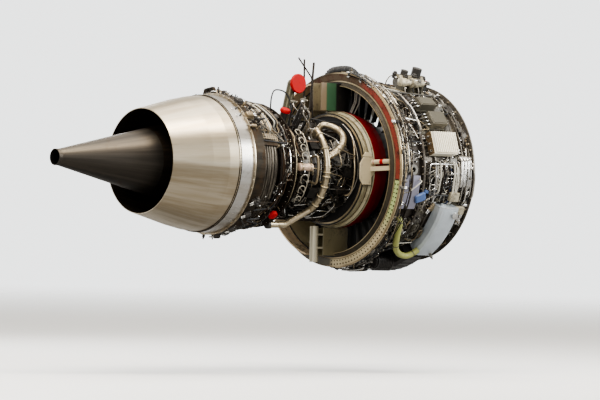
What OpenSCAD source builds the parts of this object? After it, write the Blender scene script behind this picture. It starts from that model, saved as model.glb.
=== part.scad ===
// A bare turbofan jet engine, as it stands in a workshop with its cowls off.
// The engine axis is X with the fan forward (+X), Z is up and Y is the port side.
// The origin is the centre of the inlet flange's front face. Profiles are drawn as
// [radius, station], where a station is the distance aft of the fan case's front rib,
// which lies one inlet ring's length behind that face.
// Clock angles run from 12 o'clock towards the starboard side.

/* [Fan] */
// Radius of the fan at the blade tips
fan_r = 640; // [630:1:650]
// Running gap between the blade tips and the rub strip
tip_gap = 2; // [1.5:0.5:4]
// Radius of the fan disc's rim
hub_r = 200; // [190:1:210]
// Number of fan blades
blade_n = 24; // [18:1:26]
// Chord of a fan blade at its root
blade_chord = 150; // [120:1:160]
// Length of the fan disc along the axis
disc_len = 140; // [130:1:150]
// Length of the spinner
spinner_len = 170; // [140:1:185]

/* [Fan case] */
// Length of the inlet ring, from the inlet flange to the fan case's front rib
inlet_len = 110; // [90:1:120]
// Length of the fan case
case_len = 420; // [400:1:440]
// Wall of the fan case
case_t = 14; // [10:1:18]
// Height of the inlet flange above the case wall
flange_h = 60; // [50:1:70]
// Thickness of the inlet flange
flange_t = 12; // [8:1:16]
// Number of inlet flange bolts
flange_bolt_n = 36; // [24:4:48]
// Radius of an inlet flange bolt hole
flange_bolt_r = 5.5; // [4:0.5:7]
// Thickness of the rub strip
rub_t = 8; // [6:0.5:10]

/* [Fan frame] */
// Length of the frame's outer ring
frame_len = 340; // [330:1:360]
// Radius of the duct's outer wall at the frame's rear
duct_r = 690; // [685:1:700]
// Wall of the frame's outer ring
frame_t = 12; // [8:1:16]
// Length of the outer groove ring
groove_len = 40; // [30:1:50]
// Height of the outer groove ring above the frame's wall
groove_h = 78; // [70:1:84]
// Width of the seal bands on the outer groove ring
band_w = 52; // [40:1:60]
// Length of the duct lip on the port side
lip_len = 120; // [100:1:170]
// Number of outlet guide vanes
vane_n = 36; // [24:1:44]
// Number of struts in the core's inlet passage
hub_strut_n = 8; // [6:1:10]
// Width of the upper fairing across the duct
upper_w = 104; // [90:1:120]
// Width of the lower fairing across the duct
lower_w = 80; // [70:1:100]
// Length of the upper fairing behind the outer ring
upper_tail = 205; // [150:5:215]
// Length of the lower fairing behind the outer ring
lower_tail = 143; // [100:1:150]

/* [Inner duct] */
// Radius of the flow splitter's nose
split_r = 348; // [344:1:352]
// Radius of the inner duct wall at its rear
wall_r = 470; // [465:1:475]
// Length of the cream ring behind the inner duct wall
ring_len = 95; // [85:1:105]
// Thickness of the inner duct walls
wall_t = 8; // [5:1:9]

/* [Core] */
// Length of the high pressure compressor
hpc_len = 480; // [460:1:500]
// Height of the tallest housings above the compressor case
housing_h = 135; // [110:5:140]
// Radius of the compressor passage at its front
hpc_r = 250; // [248:1:254]
// Length of the combustor case
comb_len = 250; // [240:1:270]
// Radius of the combustor case
comb_r = 345; // [341:1:350]
// Wall of the core cases
core_t = 8; // [6:1:10]
// Number of fuel nozzles
nozzle_n = 18; // [12:1:20]
// Length of the turbine case
lpt_len = 370; // [360:1:390]
// Radius of the turbine case at its rear
lpt_r = 470; // [466:1:472]
// Number of cooling tubes round the turbine case
tube_n = 6; // [4:1:6]
// Radius of a cooling tube
tube_r = 8; // [5:0.5:9]
// Length of the turbine rear frame
rear_len = 95; // [90:1:105]
// Radius of the turbine rear frame's mount ring
rear_r = 548; // [540:1:552]
// Number of struts in the turbine rear frame
rear_strut_n = 10; // [8:1:12]

/* [Exhaust] */
// Length of the exhaust nozzle
exit_len = 693; // [660:1:720]
// Outer radius of the exhaust nozzle's exit
exit_r = 402; // [395:1:410]
// Wall of the exhaust nozzle
exit_t = 5; // [3:0.5:6]
// Length of the plug's front part
plug_len = 660; // [640:1:680]
// Length of the plug's tail
tail_len = 835; // [800:1:850]
// Radius of the plug's tip
tip_r = 62; // [58:1:70]
// Largest radius of the plug
plug_r = 290; // [286:1:294]

/* [Shafts] */
// Radius of the low pressure shaft
shaft_r = 45; // [40:1:48]
// Outer radius of the high pressure shaft
sleeve_r = 68; // [64:1:70]
// Outer radius of the bearings
race_r = 92; // [90:1:96]

/* [Mounts] */
// Bore radius of the handling bosses on the frame
boss_bore_r = 20; // [16:1:24]
// Bore radius of the rear mount
lug_bore_r = 14; // [10:1:18]
// Clock angle of the rear mount's lug
lug_clock = -8.6; // [-12:0.2:0]
// Spacing of the front mount's bolts along the axis
mount_dx = 70; // [60:1:80]
// Spacing of the front mount's bolts across the axis
mount_dy = 150; // [130:1:170]
// Radius of the front mount's bolt holes
mount_bolt_r = 9; // [7:0.5:11]

/* [Hidden] */

$fn = 72;
fit = 0.3;

// Stations of the joint faces, from the inlet flange aft.
s_disc = spinner_len + 20;
s_disc_end = s_disc + disc_len;
s_hub = s_disc_end + 20;
s_frame = case_len;
s_split = case_len - 30;
s_ring_end = case_len + frame_len;
s_groove = s_ring_end - groove_len;
s_boost = s_split + 230;
s_wall = s_boost - 20;
s_cream = s_ring_end - 5;
s_cream_end = s_cream + ring_len;
s_hpc = s_ring_end + 100;
s_comb = s_hpc + hpc_len;
s_hpt = s_comb + comb_len;
s_rear = s_hpt + lpt_len;
s_nozzle = s_rear + rear_len;
s_exit = s_nozzle + exit_len;
s_seam = s_nozzle + plug_len;
s_tip = s_seam + tail_len;

// Radii that several pieces share.
strip_r = fan_r + tip_gap;
case_in = strip_r + rub_t;
case_out = case_in + case_t;
rib_r = case_out + 20;
flange_r = case_out + flange_h - rub_t;
joint_r = case_out + 26;
drum_r = hub_r + 36;
nose_t = 6;
drum_t = 8;
ring_r = duct_r + frame_t;
groove_r = ring_r + groove_h;
lpt_in = 270;
hpt_tip = 300;
hpt_hub = 235;
flange_w = 10;

// A point on a line of [radius, station] points, by station.
function radius_at(line, s, i = 0) =
    i >= len(line) - 2 || s <= line[i + 1][1]
        ? line[i][0] + (line[i + 1][0] - line[i][0]) * (s - line[i][1]) / (line[i + 1][1] - line[i][1])
        : radius_at(line, s, i + 1);

// Moves every point of a line outward by d.
function raised(line, d) = [for (p = line) [p[0] + d, p[1]]];

// Runs a line backwards.
function backward(line) = [for (i = [len(line) - 1:-1:0]) line[i]];

// Closes a wall of thickness t under an outer line.
function wall(line, t) = concat(line, backward(raised(line, -t)));

// The lines of the gas path and the ducts.
duct_line = [[strip_r, s_frame], [strip_r + 30, s_frame + 220], [duct_r, s_ring_end]];
split_line = [[split_r, s_split], [split_r + 24, s_split + 40], [split_r + 54, s_split + 110],
    [split_r + 80, s_split + 175], [wall_r - 30, s_wall]];
wall_line = [[wall_r - 30, s_wall], [wall_r - 8, s_wall + 80], [wall_r, s_wall + 130], [wall_r, s_cream]];
boost_line = [[split_r - nose_t, s_split + 14], [split_r - 30, s_boost]];
neck_out = [[split_r - 30, s_boost], [split_r - 42, s_boost + 80], [hpc_r + 16, s_hpc - 60], [hpc_r, s_hpc]];
neck_in = [[drum_r, s_boost], [drum_r - 14, s_boost + 80], [hpc_r - 82, s_hpc - 60], [hpc_r - 100, s_hpc]];
hpc_line = [[hpc_r, s_hpc], [hpc_r - 24, s_comb]];
hpc_drum = [[hpc_r - 100, s_hpc + 8], [hpc_r - 62, s_comb - 10]];
lpt_line = [[lpt_r - 32, s_hpt + 40], [lpt_r, s_rear]];
nozzle_line = [[rear_r - 18, s_nozzle], [rear_r - 24, s_nozzle + 135], [exit_r + 112, s_nozzle + 230],
    [exit_r + 84, s_nozzle + 370], [exit_r + 47, s_exit - 180], [exit_r, s_exit]];
plug_line = [[plug_r - 5, s_nozzle], [plug_r, s_nozzle + 150], [plug_r, s_seam - 265],
    [plug_r - 6, s_seam - 185], [plug_r - 20, s_seam - 95], [plug_r - 42, s_seam]];

// Turns a profile about the engine axis, whole or between two clock angles.
module turned(points, from = 0, to = 360) {
    translate([-inlet_len, 0, 0]) rotate([0, -90, 0])
        rotate([0, 0, -to])
            rotate_extrude(angle = to - from) polygon(points);
}

// Turns a plain band about the axis.
module band(r0, r1, s0, s1, from = 0, to = 360) {
    turned([[r0, s0], [r1, s0], [r1, s1], [r0, s1]], from, to);
}

// Places its children at a clock angle, station and radius, with local Z pointing outward.
module at(clock, s, r) {
    translate([-s - inlet_len, 0, 0]) rotate([clock, 0, 0]) translate([0, 0, r]) children();
}

// A cylinder along the axis, running aft from station s.
module along(clock, s, r, radius, length) {
    at(clock, s, r) rotate([0, -90, 0]) cylinder(r = radius, h = length);
}

// A tube that follows the case between two clock angles.
module hoop(s, r, radius, from = 0, to = 360) {
    translate([-inlet_len, 0, 0]) rotate([0, -90, 0])
        rotate([0, 0, -to])
            rotate_extrude(angle = to - from) translate([r, s]) circle(r = radius);
}

// The point at a clock angle, station and radius.
function spot(clock, s, r) = [-s - inlet_len, -r * sin(clock), r * cos(clock)];

// A straight bar from one point to another.
module pipe(a, b, radius) {
    d = b - a;
    translate(a) rotate([0, acos(d[2] / norm(d)), atan2(d[1], d[0])]) cylinder(r = radius, h = norm(d));
}

// Outline of a small blade or vane, chord along X.
function foil(chord, t, camber, n = 4) = concat(
    [for (i = [0:n]) let (u = 2 * i / n - 1) [u * chord / 2, (camber + t / 2) * (1 - u * u) + 0.4]],
    [for (i = [n:-1:0]) let (u = 2 * i / n - 1) [u * chord / 2, (camber - t / 2) * (1 - u * u) - 0.4]]);

// A ring of straight blades between two radii.
module blade_row(n, s, r0, r1, chord, t, camber, stagger) {
    for (i = [0:n - 1])
        at((i + 0.5) * 360 / n, s, r0)
            rotate([0, 0, stagger]) linear_extrude(r1 - r0) polygon(foil(chord, t, camber, 2));
}

// Fan

blade_root_t = 16;
root_neck = 12;
root_lobe = 17;
root_depth = 48;
platform_t = 8;
blade_base = hub_r + platform_t / 2;

// Half-open profile of a blade root; c widens it into the slot of the disc.
function root_profile(c, top) = [[-root_neck - c, top], [-root_neck - c, hub_r - 18],
    [-root_lobe - c, hub_r - 30], [-root_lobe - c, hub_r - root_depth - c],
    [root_lobe + c, hub_r - root_depth - c], [root_lobe + c, hub_r - 30],
    [root_neck + c, hub_r - 18], [root_neck + c, top]];

// One section of a fan blade, wrapped on its radius; f runs from root to tip.
function fan_section(f) =
    let (r = blade_base + (fan_r - blade_base) * f,
        chord = blade_chord + 40 * f,
        turn = 8 + 50 * f,
        outline = foil(chord, blade_root_t - 11 * f, 5 + 3 * sin(180 * f), 6),
        lean = 10 * sin(180 * f))
    [for (p = outline)
        let (x = p[0] * cos(turn) - p[1] * sin(turn) + 6 * f,
            y = p[0] * sin(turn) + p[1] * cos(turn) + lean,
            a = y / r * 180 / PI)
        [x, r * sin(a), r * cos(a)]];

// Triangles of a body lofted through equal sections of m points.
function loft_faces(n, m) = concat(
    [for (k = [0:n - 2], i = [0:m - 1]) [k * m + i, k * m + (i + 1) % m, (k + 1) * m + (i + 1) % m]],
    [for (k = [0:n - 2], i = [0:m - 1]) [k * m + i, (k + 1) * m + (i + 1) % m, (k + 1) * m + i]],
    [for (i = [0:m / 2 - 2]) [i + 1, i, m - 1 - i]],
    [for (i = [0:m / 2 - 2]) [i + 1, m - 1 - i, m - 2 - i]],
    [for (i = [0:m / 2 - 2]) [(n - 1) * m + i, (n - 1) * m + i + 1, n * m - 1 - i]],
    [for (i = [0:m / 2 - 2]) [(n - 1) * m + i + 1, n * m - 2 - i, n * m - 1 - i]]);

module fan_blade() {
    sections = 5;
    m = 14;
    translate([-(inlet_len + s_disc + disc_len / 2), 0, 0]) {
        polyhedron(points = [for (k = [0:sections - 1]) each fan_section(k / (sections - 1))],
            faces = loft_faces(sections, m));
        rotate([90, 0, -90]) translate([0, 0, -disc_len / 2])
            linear_extrude(disc_len) polygon(root_profile(0, hub_r + platform_t / 2));
    }
    half = 180 / blade_n - 0.15;
    turned([[hub_r + fit, s_disc], [hub_r + platform_t, s_disc],
        [hub_r + platform_t, s_disc_end], [hub_r + fit, s_disc_end]], -half, half);
}

module fan_blades() {
    color("dimgray") for (i = [0:blade_n - 1]) rotate([i * 360 / blade_n, 0, 0]) fan_blade();
}

module fan_disc() {
    color("gray") difference() {
        turned([[2 * shaft_r + fit, s_disc + 20], [hub_r - 52, s_disc + 15], [hub_r - 52, s_disc],
            [hub_r, s_disc], [hub_r, s_disc_end], [hub_r - 52, s_disc_end], [hub_r - 52, s_disc_end - 30],
            [2 * shaft_r + fit, s_disc_end - 30]]);
        for (i = [0:blade_n - 1]) rotate([i * 360 / blade_n, 0, 0])
            translate([-inlet_len - s_disc_end - 1, 0, 0]) rotate([90, 0, 90])
                linear_extrude(disc_len + 2) polygon(root_profile(fit, hub_r + 20));
    }
}

module spinner() {
    color("slategray") turned([[0, 20], [60, 52], [120, 98], [170, 150], [hub_r, s_disc],
        [hub_r - 14, s_disc], [165, 158], [115, 106], [57, 60], [0, 28]]);
}

module fan_blade() {
    sections = 5;
    m = 14;
    translate([-(inlet_len + s_disc + disc_len / 2), 0, 0]) {
        polyhedron(points = [for (k = [0:sections - 1]) each fan_section(k / (sections - 1))],
            faces = loft_faces(sections, m));
        rotate([90, 0, -90]) translate([0, 0, -disc_len / 2])
            linear_extrude(disc_len) polygon(root_profile(0, hub_r + platform_t / 2));
    }
    half = 180 / blade_n - 0.15;
    turned([[hub_r + fit, s_disc], [hub_r + platform_t, s_disc],
        [hub_r + platform_t, s_disc_end], [hub_r + fit, s_disc_end]], -half, half);
}

module fan_blades() {
    color("dimgray") for (i = [0:blade_n - 1]) rotate([i * 360 / blade_n, 0, 0]) fan_blade();
}

module fan_disc() {
    color("gray") difference() {
        turned([[2 * shaft_r + fit, s_disc + 20], [hub_r - 52, s_disc + 15], [hub_r - 52, s_disc],
            [hub_r, s_disc], [hub_r, s_disc_end], [hub_r - 52, s_disc_end],
            [hub_r - 52, s_hub], [2 * shaft_r + fit, s_hub]]);
        for (i = [0:blade_n - 1]) rotate([i * 360 / blade_n, 0, 0])
            translate([-inlet_len - s_disc_end - 1, 0, 0]) rotate([90, 0, 90])
                linear_extrude(disc_len + 2) polygon(root_profile(fit, hub_r + 20));
    }
}

// Booster and low pressure shaft

stage_s = [s_split + 45, s_split + 115, s_split + 185];

module booster_rotor() {
    color("silver") {
        turned([[shaft_r + fit, s_hub + 12], [drum_r - drum_t, s_hub + 12], [drum_r - drum_t, s_disc_end + 6],
            [drum_r, s_disc_end + 6], [drum_r, s_boost - 4], [drum_r - drum_t, s_boost - 4],
            [drum_r - drum_t, s_hub + 24], [shaft_r + fit, s_hub + 24]]);
        for (s = stage_s)
            blade_row(30, s, drum_r - 3, radius_at(boost_line, s + 15) - 2, 30, 4, 3, 35);
    }
}

module booster_stators() {
    color("darkgray") for (s = stage_s)
        blade_row(32, s + 35, drum_r + 2, radius_at(boost_line, s + 48) - fit, 26, 3, -3, -20);
}

module booster_case() {
    color("lightgray") turned(wall(raised(boost_line, nose_t), nose_t));
}

module fan_shaft() {
    color("silver") turned([[shaft_r - 15, s_disc], [2 * shaft_r, s_disc], [2 * shaft_r, s_hub],
        [3 * shaft_r, s_hub], [3 * shaft_r, s_hub + 12], [shaft_r, s_hub + 12],
        [shaft_r, s_rear + 60], [shaft_r - 15, s_rear + 60]]);
}

lpt_s = [s_hpt + 150, s_hpt + 225, s_hpt + 300];

// Outer radius of the gas path in the low pressure turbine.
function lpt_path(s) = radius_at(lpt_line, s) - core_t - 22;

module lpt_rotor() {
    color("dimgray") {
        turned([[shaft_r + fit, lpt_s[0] - 20], [shaft_r + 25, lpt_s[0] - 20], [shaft_r + 25, lpt_s[1] - 12],
            [lpt_in - 30, lpt_s[1] - 12], [lpt_in - 30, lpt_s[0] - 22], [lpt_in, lpt_s[0] - 22],
            [lpt_in, lpt_s[2] + 22], [lpt_in - 30, lpt_s[2] + 22], [lpt_in - 30, lpt_s[1] + 12],
            [shaft_r + 25, lpt_s[1] + 12], [shaft_r + 25, lpt_s[2] + 20], [shaft_r + fit, lpt_s[2] + 20]]);
        for (s = lpt_s) blade_row(36, s, lpt_in - 3, lpt_path(s - 15) - 2, 28, 5, 5, 30);
    }
}

module lpt_nozzles() {
    color("dimgray") for (s = lpt_s) {
        r = lpt_path(s - 38);
        turned([[r, s - 52], [radius_at(lpt_line, s - 52) - core_t - fit, s - 52],
            [radius_at(lpt_line, s - 22) - core_t - fit, s - 22], [r, s - 22]]);
        blade_row(32, s - 37, lpt_in + 2, r + 2, 26, 5, -5, -30);
    }
}

module fan_bearings() {
    color("silver") {
        band(shaft_r + fit, race_r - 20, s_boost + 10, s_boost + 50);
        band(shaft_r + fit, race_r - 20, s_rear + 20, s_rear + 50);
    }
}

module outer_races() {
    color("gray") {
        band(race_r - 20 + fit, race_r, s_boost + 10, s_boost + 50);
        band(race_r - 20 + fit, race_r, s_rear + 20, s_rear + 50);
        band(sleeve_r + 12 + fit, race_r, s_hpc - 30, s_hpc);
        band(sleeve_r + 12 + fit, race_r, s_hpt - 80, s_hpt - 50);
    }
}

// High pressure spool

hpc_s = [for (i = [0:5]) s_hpc + 45 + i * (hpc_len - 110) / 5];

module hpc_rotor() {
    color("silver") {
        turned(concat([[sleeve_r - 8, s_hpc - 34], [sleeve_r, s_hpc - 34], [sleeve_r, s_hpc + 8]],
            hpc_drum, [[sleeve_r, s_comb - 10], [sleeve_r, s_hpt + 10], [sleeve_r - 8, s_hpt + 10],
            [sleeve_r - 8, s_comb - 22], [hpc_drum[1][0] - 10, s_comb - 22],
            [hpc_drum[0][0] - 10, s_hpc + 20], [sleeve_r - 8, s_hpc + 20]]));
        for (s = hpc_s)
            blade_row(28, s, radius_at(hpc_drum, s) - 4, radius_at(hpc_line, s + 14) - 2, 28, 3, 3, 40);
    }
}

module hpt_rotor() {
    color("dimgray") {
        turned([[sleeve_r - 8, s_hpt + 10], [sleeve_r + 30, s_hpt + 10], [sleeve_r + 30, s_hpt + 25],
            [hpt_hub - 30, s_hpt + 25], [hpt_hub - 30, s_hpt + 12], [hpt_hub, s_hpt + 12],
            [hpt_hub, s_hpt + 62], [hpt_hub - 30, s_hpt + 62], [hpt_hub - 30, s_hpt + 49],
            [sleeve_r + 30, s_hpt + 49], [sleeve_r + 30, s_hpt + 70], [sleeve_r - 8, s_hpt + 70]]);
        blade_row(40, s_hpt + 37, hpt_hub - 3, hpt_tip, 34, 6, 6, 35);
    }
}

module core_bearings() {
    color("silver") {
        band(sleeve_r + fit, sleeve_r + 12, s_hpc - 30, s_hpc);
        band(sleeve_r + fit, sleeve_r + 12, s_hpt - 80, s_hpt - 50);
    }
}

// Actuators, valves and oil fittings on the compressor case. Housings are given as
// [clock, distance behind the case's front, length, width, share of the full height].
core_housings = [[95, 80, 110, 80, 0.95], [118, 140, 130, 58, 1], [140, 75, 100, 80, 0.85],
    [165, 130, 120, 90, 1], [195, 80, 110, 86, 0.8], [222, 150, 130, 66, 1], [250, 75, 100, 80, 0.9],
    [278, 143, 120, 66, 1], [305, 80, 110, 80, 0.82], [331, 140, 100, 66, 0.95],
    [180, 335, 120, 86, 0.8], [214, 315, 90, 66, 1], [240, 325, 110, 76, 0.7], [301, 325, 120, 84, 0.95],
    [334, 320, 90, 60, 0.8], [60, 408, 84, 86, 0.85], [124, 410, 90, 80, 0.9], [200, 402, 96, 90, 0.98],
    [254, 410, 90, 76, 0.92], [290, 402, 90, 84, 0.85], [319, 408, 80, 66, 0.98],
    [66, 42, 50, 50, 0.62], [37, 150, 70, 60, 0.6]];

// Round valves as [clock, distance behind the case's front, radius, share of the full height].
core_valves = [[104, 402, 34, 0.72], [143, 392, 30, 0.66], [228, 400, 36, 0.85], [342, 250, 24, 0.8],
    [266, 230, 28, 0.9], [152, 210, 26, 0.75], [186, 225, 28, 0.9], [106, 226, 24, 0.66],
    [320, 236, 26, 0.9], [205, 226, 22, 0.8], [80, 60, 24, 0.62], [24, 66, 20, 0.5]];

// Straight pipes along the compressor as [clock, radius above the case's front, pipe radius].
core_runs = [[115, 84, 8], [131, 80, 7], [173, 150, 8], [189, 140, 10], [208, 146, 7], [232, 142, 9],
    [262, 148, 8], [287, 140, 7], [312, 146, 9], [346, 138, 7]];

module core_fittings() {
    for (h = core_housings) at(h[0], s_hpc + h[1], hpc_r - 30) translate([-h[2] / 2, -h[3] / 2, 0])
        cube([h[2], h[3], 30 + housing_h * h[4]]);
    for (v = core_valves) at(v[0], s_hpc + v[1], hpc_r - 30) cylinder(r = v[2], h = 30 + housing_h * v[3]);
    for (p = core_runs) {
        along(p[0], s_hpc + 26, hpc_r + p[1], p[2], hpc_len - 50);
        for (s = [s_hpc + 34, s_comb - 40]) at(p[0], s, hpc_r - 30) cylinder(r = p[2] + 2, h = 30 + p[1]);
    }
    for (s = [s_hpc + 30, s_hpc + 80]) band(hpc_r + 22, hpc_r + 34, s, s + 12);
}

module hpc_case() {
    color("darkgray") difference() {
        union() {
            core_fittings();
            turned(concat(raised(hpc_line, core_t), backward(hpc_line)));
            for (s = [s_hpc, s_hpc + hpc_len / 2, s_comb - flange_w])
                band(radius_at(hpc_line, s) + core_t / 2, radius_at(hpc_line, s) + core_t + 22,
                    s, s + flange_w);
            for (i = [0:2]) band(radius_at(hpc_line, hpc_s[i]) + core_t / 2,
                radius_at(hpc_line, hpc_s[i]) + core_t + 8, hpc_s[i] + 14, hpc_s[i] + 30);
            for (clock = [90, 270]) at(clock, s_hpc + hpc_len / 2, 0)
                translate([0, -7, hpc_r - 20]) cube([hpc_len / 2 - flange_w, 14, 44]);
        }
        turned(concat([[1, s_hpc - 1], [hpc_r, s_hpc - 1]], hpc_line,
            [[hpc_r - 24, s_comb + 1], [1, s_comb + 1]]));
    }
}

module hpc_stators() {
    color("gray") for (i = [0:4]) {
        s = (hpc_s[i] + hpc_s[i + 1]) / 2;
        blade_row(30, s, radius_at(hpc_drum, s + 12) + 2, radius_at(hpc_line, s + 12) - fit, 24, 3, -3, -25);
    }
}

// Combustor

s_dome = s_comb + 95;
liner_end = s_hpt - 50;

module combustor_case() {
    color("tan") {
        turned([[hpc_r - 24, s_comb], [hpc_r + 6, s_comb], [hpc_r + 6, s_comb + flange_w],
            [comb_r, s_comb + 62], [comb_r, s_hpt - flange_w], [comb_r + 34, s_hpt - flange_w],
            [comb_r + 34, s_hpt], [comb_r - core_t, s_hpt], [comb_r - core_t, s_comb + 65],
            [hpc_r - 24, s_comb + 17]]);
    }
}

module combustor_liner() {
    color("peru") turned([[hpt_tip + 14, s_dome + 20], [hpt_tip + 14, liner_end - 30], [hpt_tip, liner_end],
        [hpt_tip - 8, liner_end], [hpt_tip + 10, liner_end - 32], [hpt_tip + 10, s_dome + 22],
        [hpt_tip - 6, s_dome + 4], [hpt_hub + 10, s_dome + 4], [hpt_hub - 6, s_dome + 22],
        [hpt_hub - 6, liner_end - 32], [hpt_hub - 5, liner_end], [hpt_hub - 13, liner_end],
        [hpt_hub - 10, liner_end - 30], [hpt_hub - 10, s_dome + 20], [hpt_hub + 8, s_dome],
        [hpt_tip - 4, s_dome]]);
}

module turbine_nozzle() {
    color("dimgray") {
        turned([[hpt_tip - 8, liner_end], [hpt_tip, liner_end], [hpt_tip, s_hpt - 12],
            [comb_r - core_t - fit, s_hpt - 12], [comb_r - core_t - fit, s_hpt], [hpt_tip - 8, s_hpt]]);
        turned([[hpt_hub - 13, liner_end], [hpt_hub - 5, liner_end], [hpt_hub - 5, s_hpt],
            [hpt_hub - 13, s_hpt], [hpt_hub - 13, s_hpt - 24], [race_r + fit + 8, s_hpt - 50],
            [race_r + fit + 8, s_hpt - 46], [race_r + fit, s_hpt - 46], [race_r + fit, s_hpt - 84],
            [race_r + fit + 8, s_hpt - 84], [race_r + fit + 8, s_hpt - 60], [hpt_hub - 13, s_hpt - 34]]);
        blade_row(24, s_hpt - 25, hpt_hub - 7, hpt_tip - 4, 36, 8, 8, 40);
    }
}

s_inj = s_comb + 80;
loop_r = 26;
inj_h = 50;

module fuel_nozzles() {
    color("silver") for (i = [0:nozzle_n - 1]) at(i * 360 / nozzle_n, s_inj, 0) {
        translate([0, 0, comb_r + fit]) cylinder(r = 17, h = 8);
        translate([0, 0, comb_r + fit]) cylinder(r = 9, h = inj_h);
        translate([0, 0, comb_r + fit + 24]) cylinder(r = 12, h = 12, $fn = 6);
    }
}

module fuel_manifold() {
    color("gainsboro") {
        hoop(s_inj + 2 * loop_r, comb_r + inj_h - 7, 7);
        for (i = [0:nozzle_n - 1]) at(i * 360 / nozzle_n, s_inj + loop_r, comb_r + inj_h + fit)
            rotate([90, 0, 0]) rotate_extrude(angle = 180) translate([loop_r, 0]) circle(r = 5.5);
        for (clock = [20:40:340]) at(clock, s_inj + 2 * loop_r, comb_r + fit)
            translate([-6, -6, 0]) cube([12, 12, inj_h - 14 - 2 * fit]);
    }
}

// Turbine case

module turbine_case() {
    color("dimgray") {
        turned([[hpt_tip + 2, s_hpt], [lpt_r + 10, s_hpt], [lpt_r + 10, s_hpt + 12], lpt_line[0] + [0, -6],
            lpt_line[0], [lpt_r, s_rear], [lpt_r - core_t, s_rear], lpt_line[0] + [-core_t, 2],
            lpt_line[0] + [-core_t - 2, -24], [hpt_tip + 12, s_hpt + 14], [hpt_tip + 12, s_hpt + 80],
            [hpt_tip + 2, s_hpt + 80]]);
        band(lpt_r - 2, lpt_r + 30, s_rear - flange_w, s_rear);
    }
}

tube_pitch = 28;
s_tube = s_rear - flange_w - 14;

// Centre radius of the cooling tube at a station, just clear of the case.
function tube_seat(s) = radius_at(lpt_line, s + tube_r) + tube_r + 8;

module cooling_tubes() {
    color("tan") for (i = [0:tube_n - 1]) {
        s = s_tube - i * tube_pitch;
        hoop(s, tube_seat(s), tube_r);
    }
}

module cooling_manifold() {
    color("silver") for (clock = [70, 160, 250, 340]) {
        s0 = s_tube - (tube_n - 1) * tube_pitch;
        difference() {
            turned([[radius_at(lpt_line, s0 - 20) + fit, s0 - 20],
                [radius_at(lpt_line, s_tube + 12) + fit, s_tube + 12],
                [tube_seat(s_tube) + tube_r + 14, s_tube + 12],
                [tube_seat(s0) + tube_r + 14, s0 - 20]], clock - 3, clock + 3);
            for (i = [0:tube_n - 1]) {
                s = s_tube - i * tube_pitch;
                hoop(s, tube_seat(s), tube_r + fit, clock - 6, clock + 6);
            }
        }
    }
}

rear_line = [[lpt_r, s_rear], [rear_r - 23, s_nozzle]];

module rear_frame() {
    color("saddlebrown") {
        turned([[lpt_r - core_t, s_rear], [lpt_r + 30, s_rear], [lpt_r + 30, s_rear + 8],
            radius_at(rear_line, s_rear + 8) * [1, 0] + [0, s_rear + 8], [rear_r - 24, s_nozzle - 12],
            [rear_r - 10, s_nozzle - 12], [rear_r - 10, s_rear], [rear_r, s_rear],
            [rear_r, s_nozzle], [rear_r - 23 - core_t, s_nozzle]]);
        turned([[plug_r - 15, s_rear], [plug_r - 5, s_rear], [plug_r - 5, s_nozzle], [plug_r - 15, s_nozzle],
            [plug_r - 15, s_rear + 42], [race_r + 12, s_rear + 42], [race_r + 12, s_rear + 56],
            [race_r + fit, s_rear + 56], [race_r + fit, s_rear + 14], [race_r + 12, s_rear + 14],
            [race_r + 12, s_rear + 30], [plug_r - 15, s_rear + 30]]);
        intersection() {
            for (i = [0:rear_strut_n - 1])
                at((i + 0.5) * 360 / rear_strut_n, s_rear + rear_len / 2, plug_r - 20)
                linear_extrude(rear_r - plug_r) polygon(foil(rear_len - 20, 16, 0));
            turned([[plug_r - 10, s_rear], [lpt_r - 2, s_rear], [rear_r - 25, s_nozzle],
                [plug_r - 10, s_nozzle]]);
        }
        difference() {
            at(lug_clock, s_rear + 60, 0) rotate([90, 0, 90]) linear_extrude(30)
                polygon([[-80, rear_r - 12], [80, rear_r - 12], [46, rear_r + 52], [-46, rear_r + 52]]);
            at(lug_clock, s_rear + 61, rear_r + 25) rotate([0, 90, 0]) cylinder(r = lug_bore_r, h = 32);
            band(1, rear_r - 5, s_rear, s_nozzle);
        }
    }
}

// Exhaust

module exhaust_nozzle() {
    color("silver") {
        turned(wall(nozzle_line, exit_t));
        band(rear_r - 20, rear_r, s_nozzle, s_nozzle + 8);
        band(nozzle_line[1][0] - 3, nozzle_line[1][0] + 3, s_nozzle + 128, s_nozzle + 142);
    }
}

module plug_front() {
    color("dimgray") turned(wall(plug_line, exit_t));
}

module plug_tail() {
    r = plug_r - 42;
    color("gray") turned([[r, s_seam], [tip_r, s_tip - 30], [tip_r, s_tip], [tip_r - exit_t, s_tip],
        [tip_r - exit_t, s_tip - 31], [r - exit_t, s_seam]]);
}

// Fan case and frame

flange_pitch_r = (case_out + flange_r) / 2 + 4;

module fan_case() {
    color("darkgray") difference() {
        turned([[strip_r, -inlet_len], [flange_r, -inlet_len], [flange_r, flange_t - inlet_len],
            [case_out, flange_t - inlet_len], [case_out, -9], [joint_r, -9], [joint_r, 1], [case_out, 1],
            [case_out, 150], [rib_r, 150], [rib_r, 160], [case_out, 160],
            [case_out, 290], [rib_r, 290], [rib_r, 300], [case_out, 300],
            [case_out, case_len - flange_t], [joint_r, case_len - flange_t], [joint_r, case_len],
            [case_in, case_len], [case_in, 60], [strip_r, 60]]);
        for (i = [0:flange_bolt_n - 1]) at((i + 0.5) * 360 / flange_bolt_n, -inlet_len, flange_pitch_r)
            rotate([0, 90, 0]) cylinder(r = flange_bolt_r, h = 3 * flange_t, center = true);
    }
}

module rub_strip() {
    color("burlywood") band(strip_r, case_in - fit, 60, case_len);
}

s_boss = s_frame + 190;
boss_top = ring_r + 62;

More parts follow.
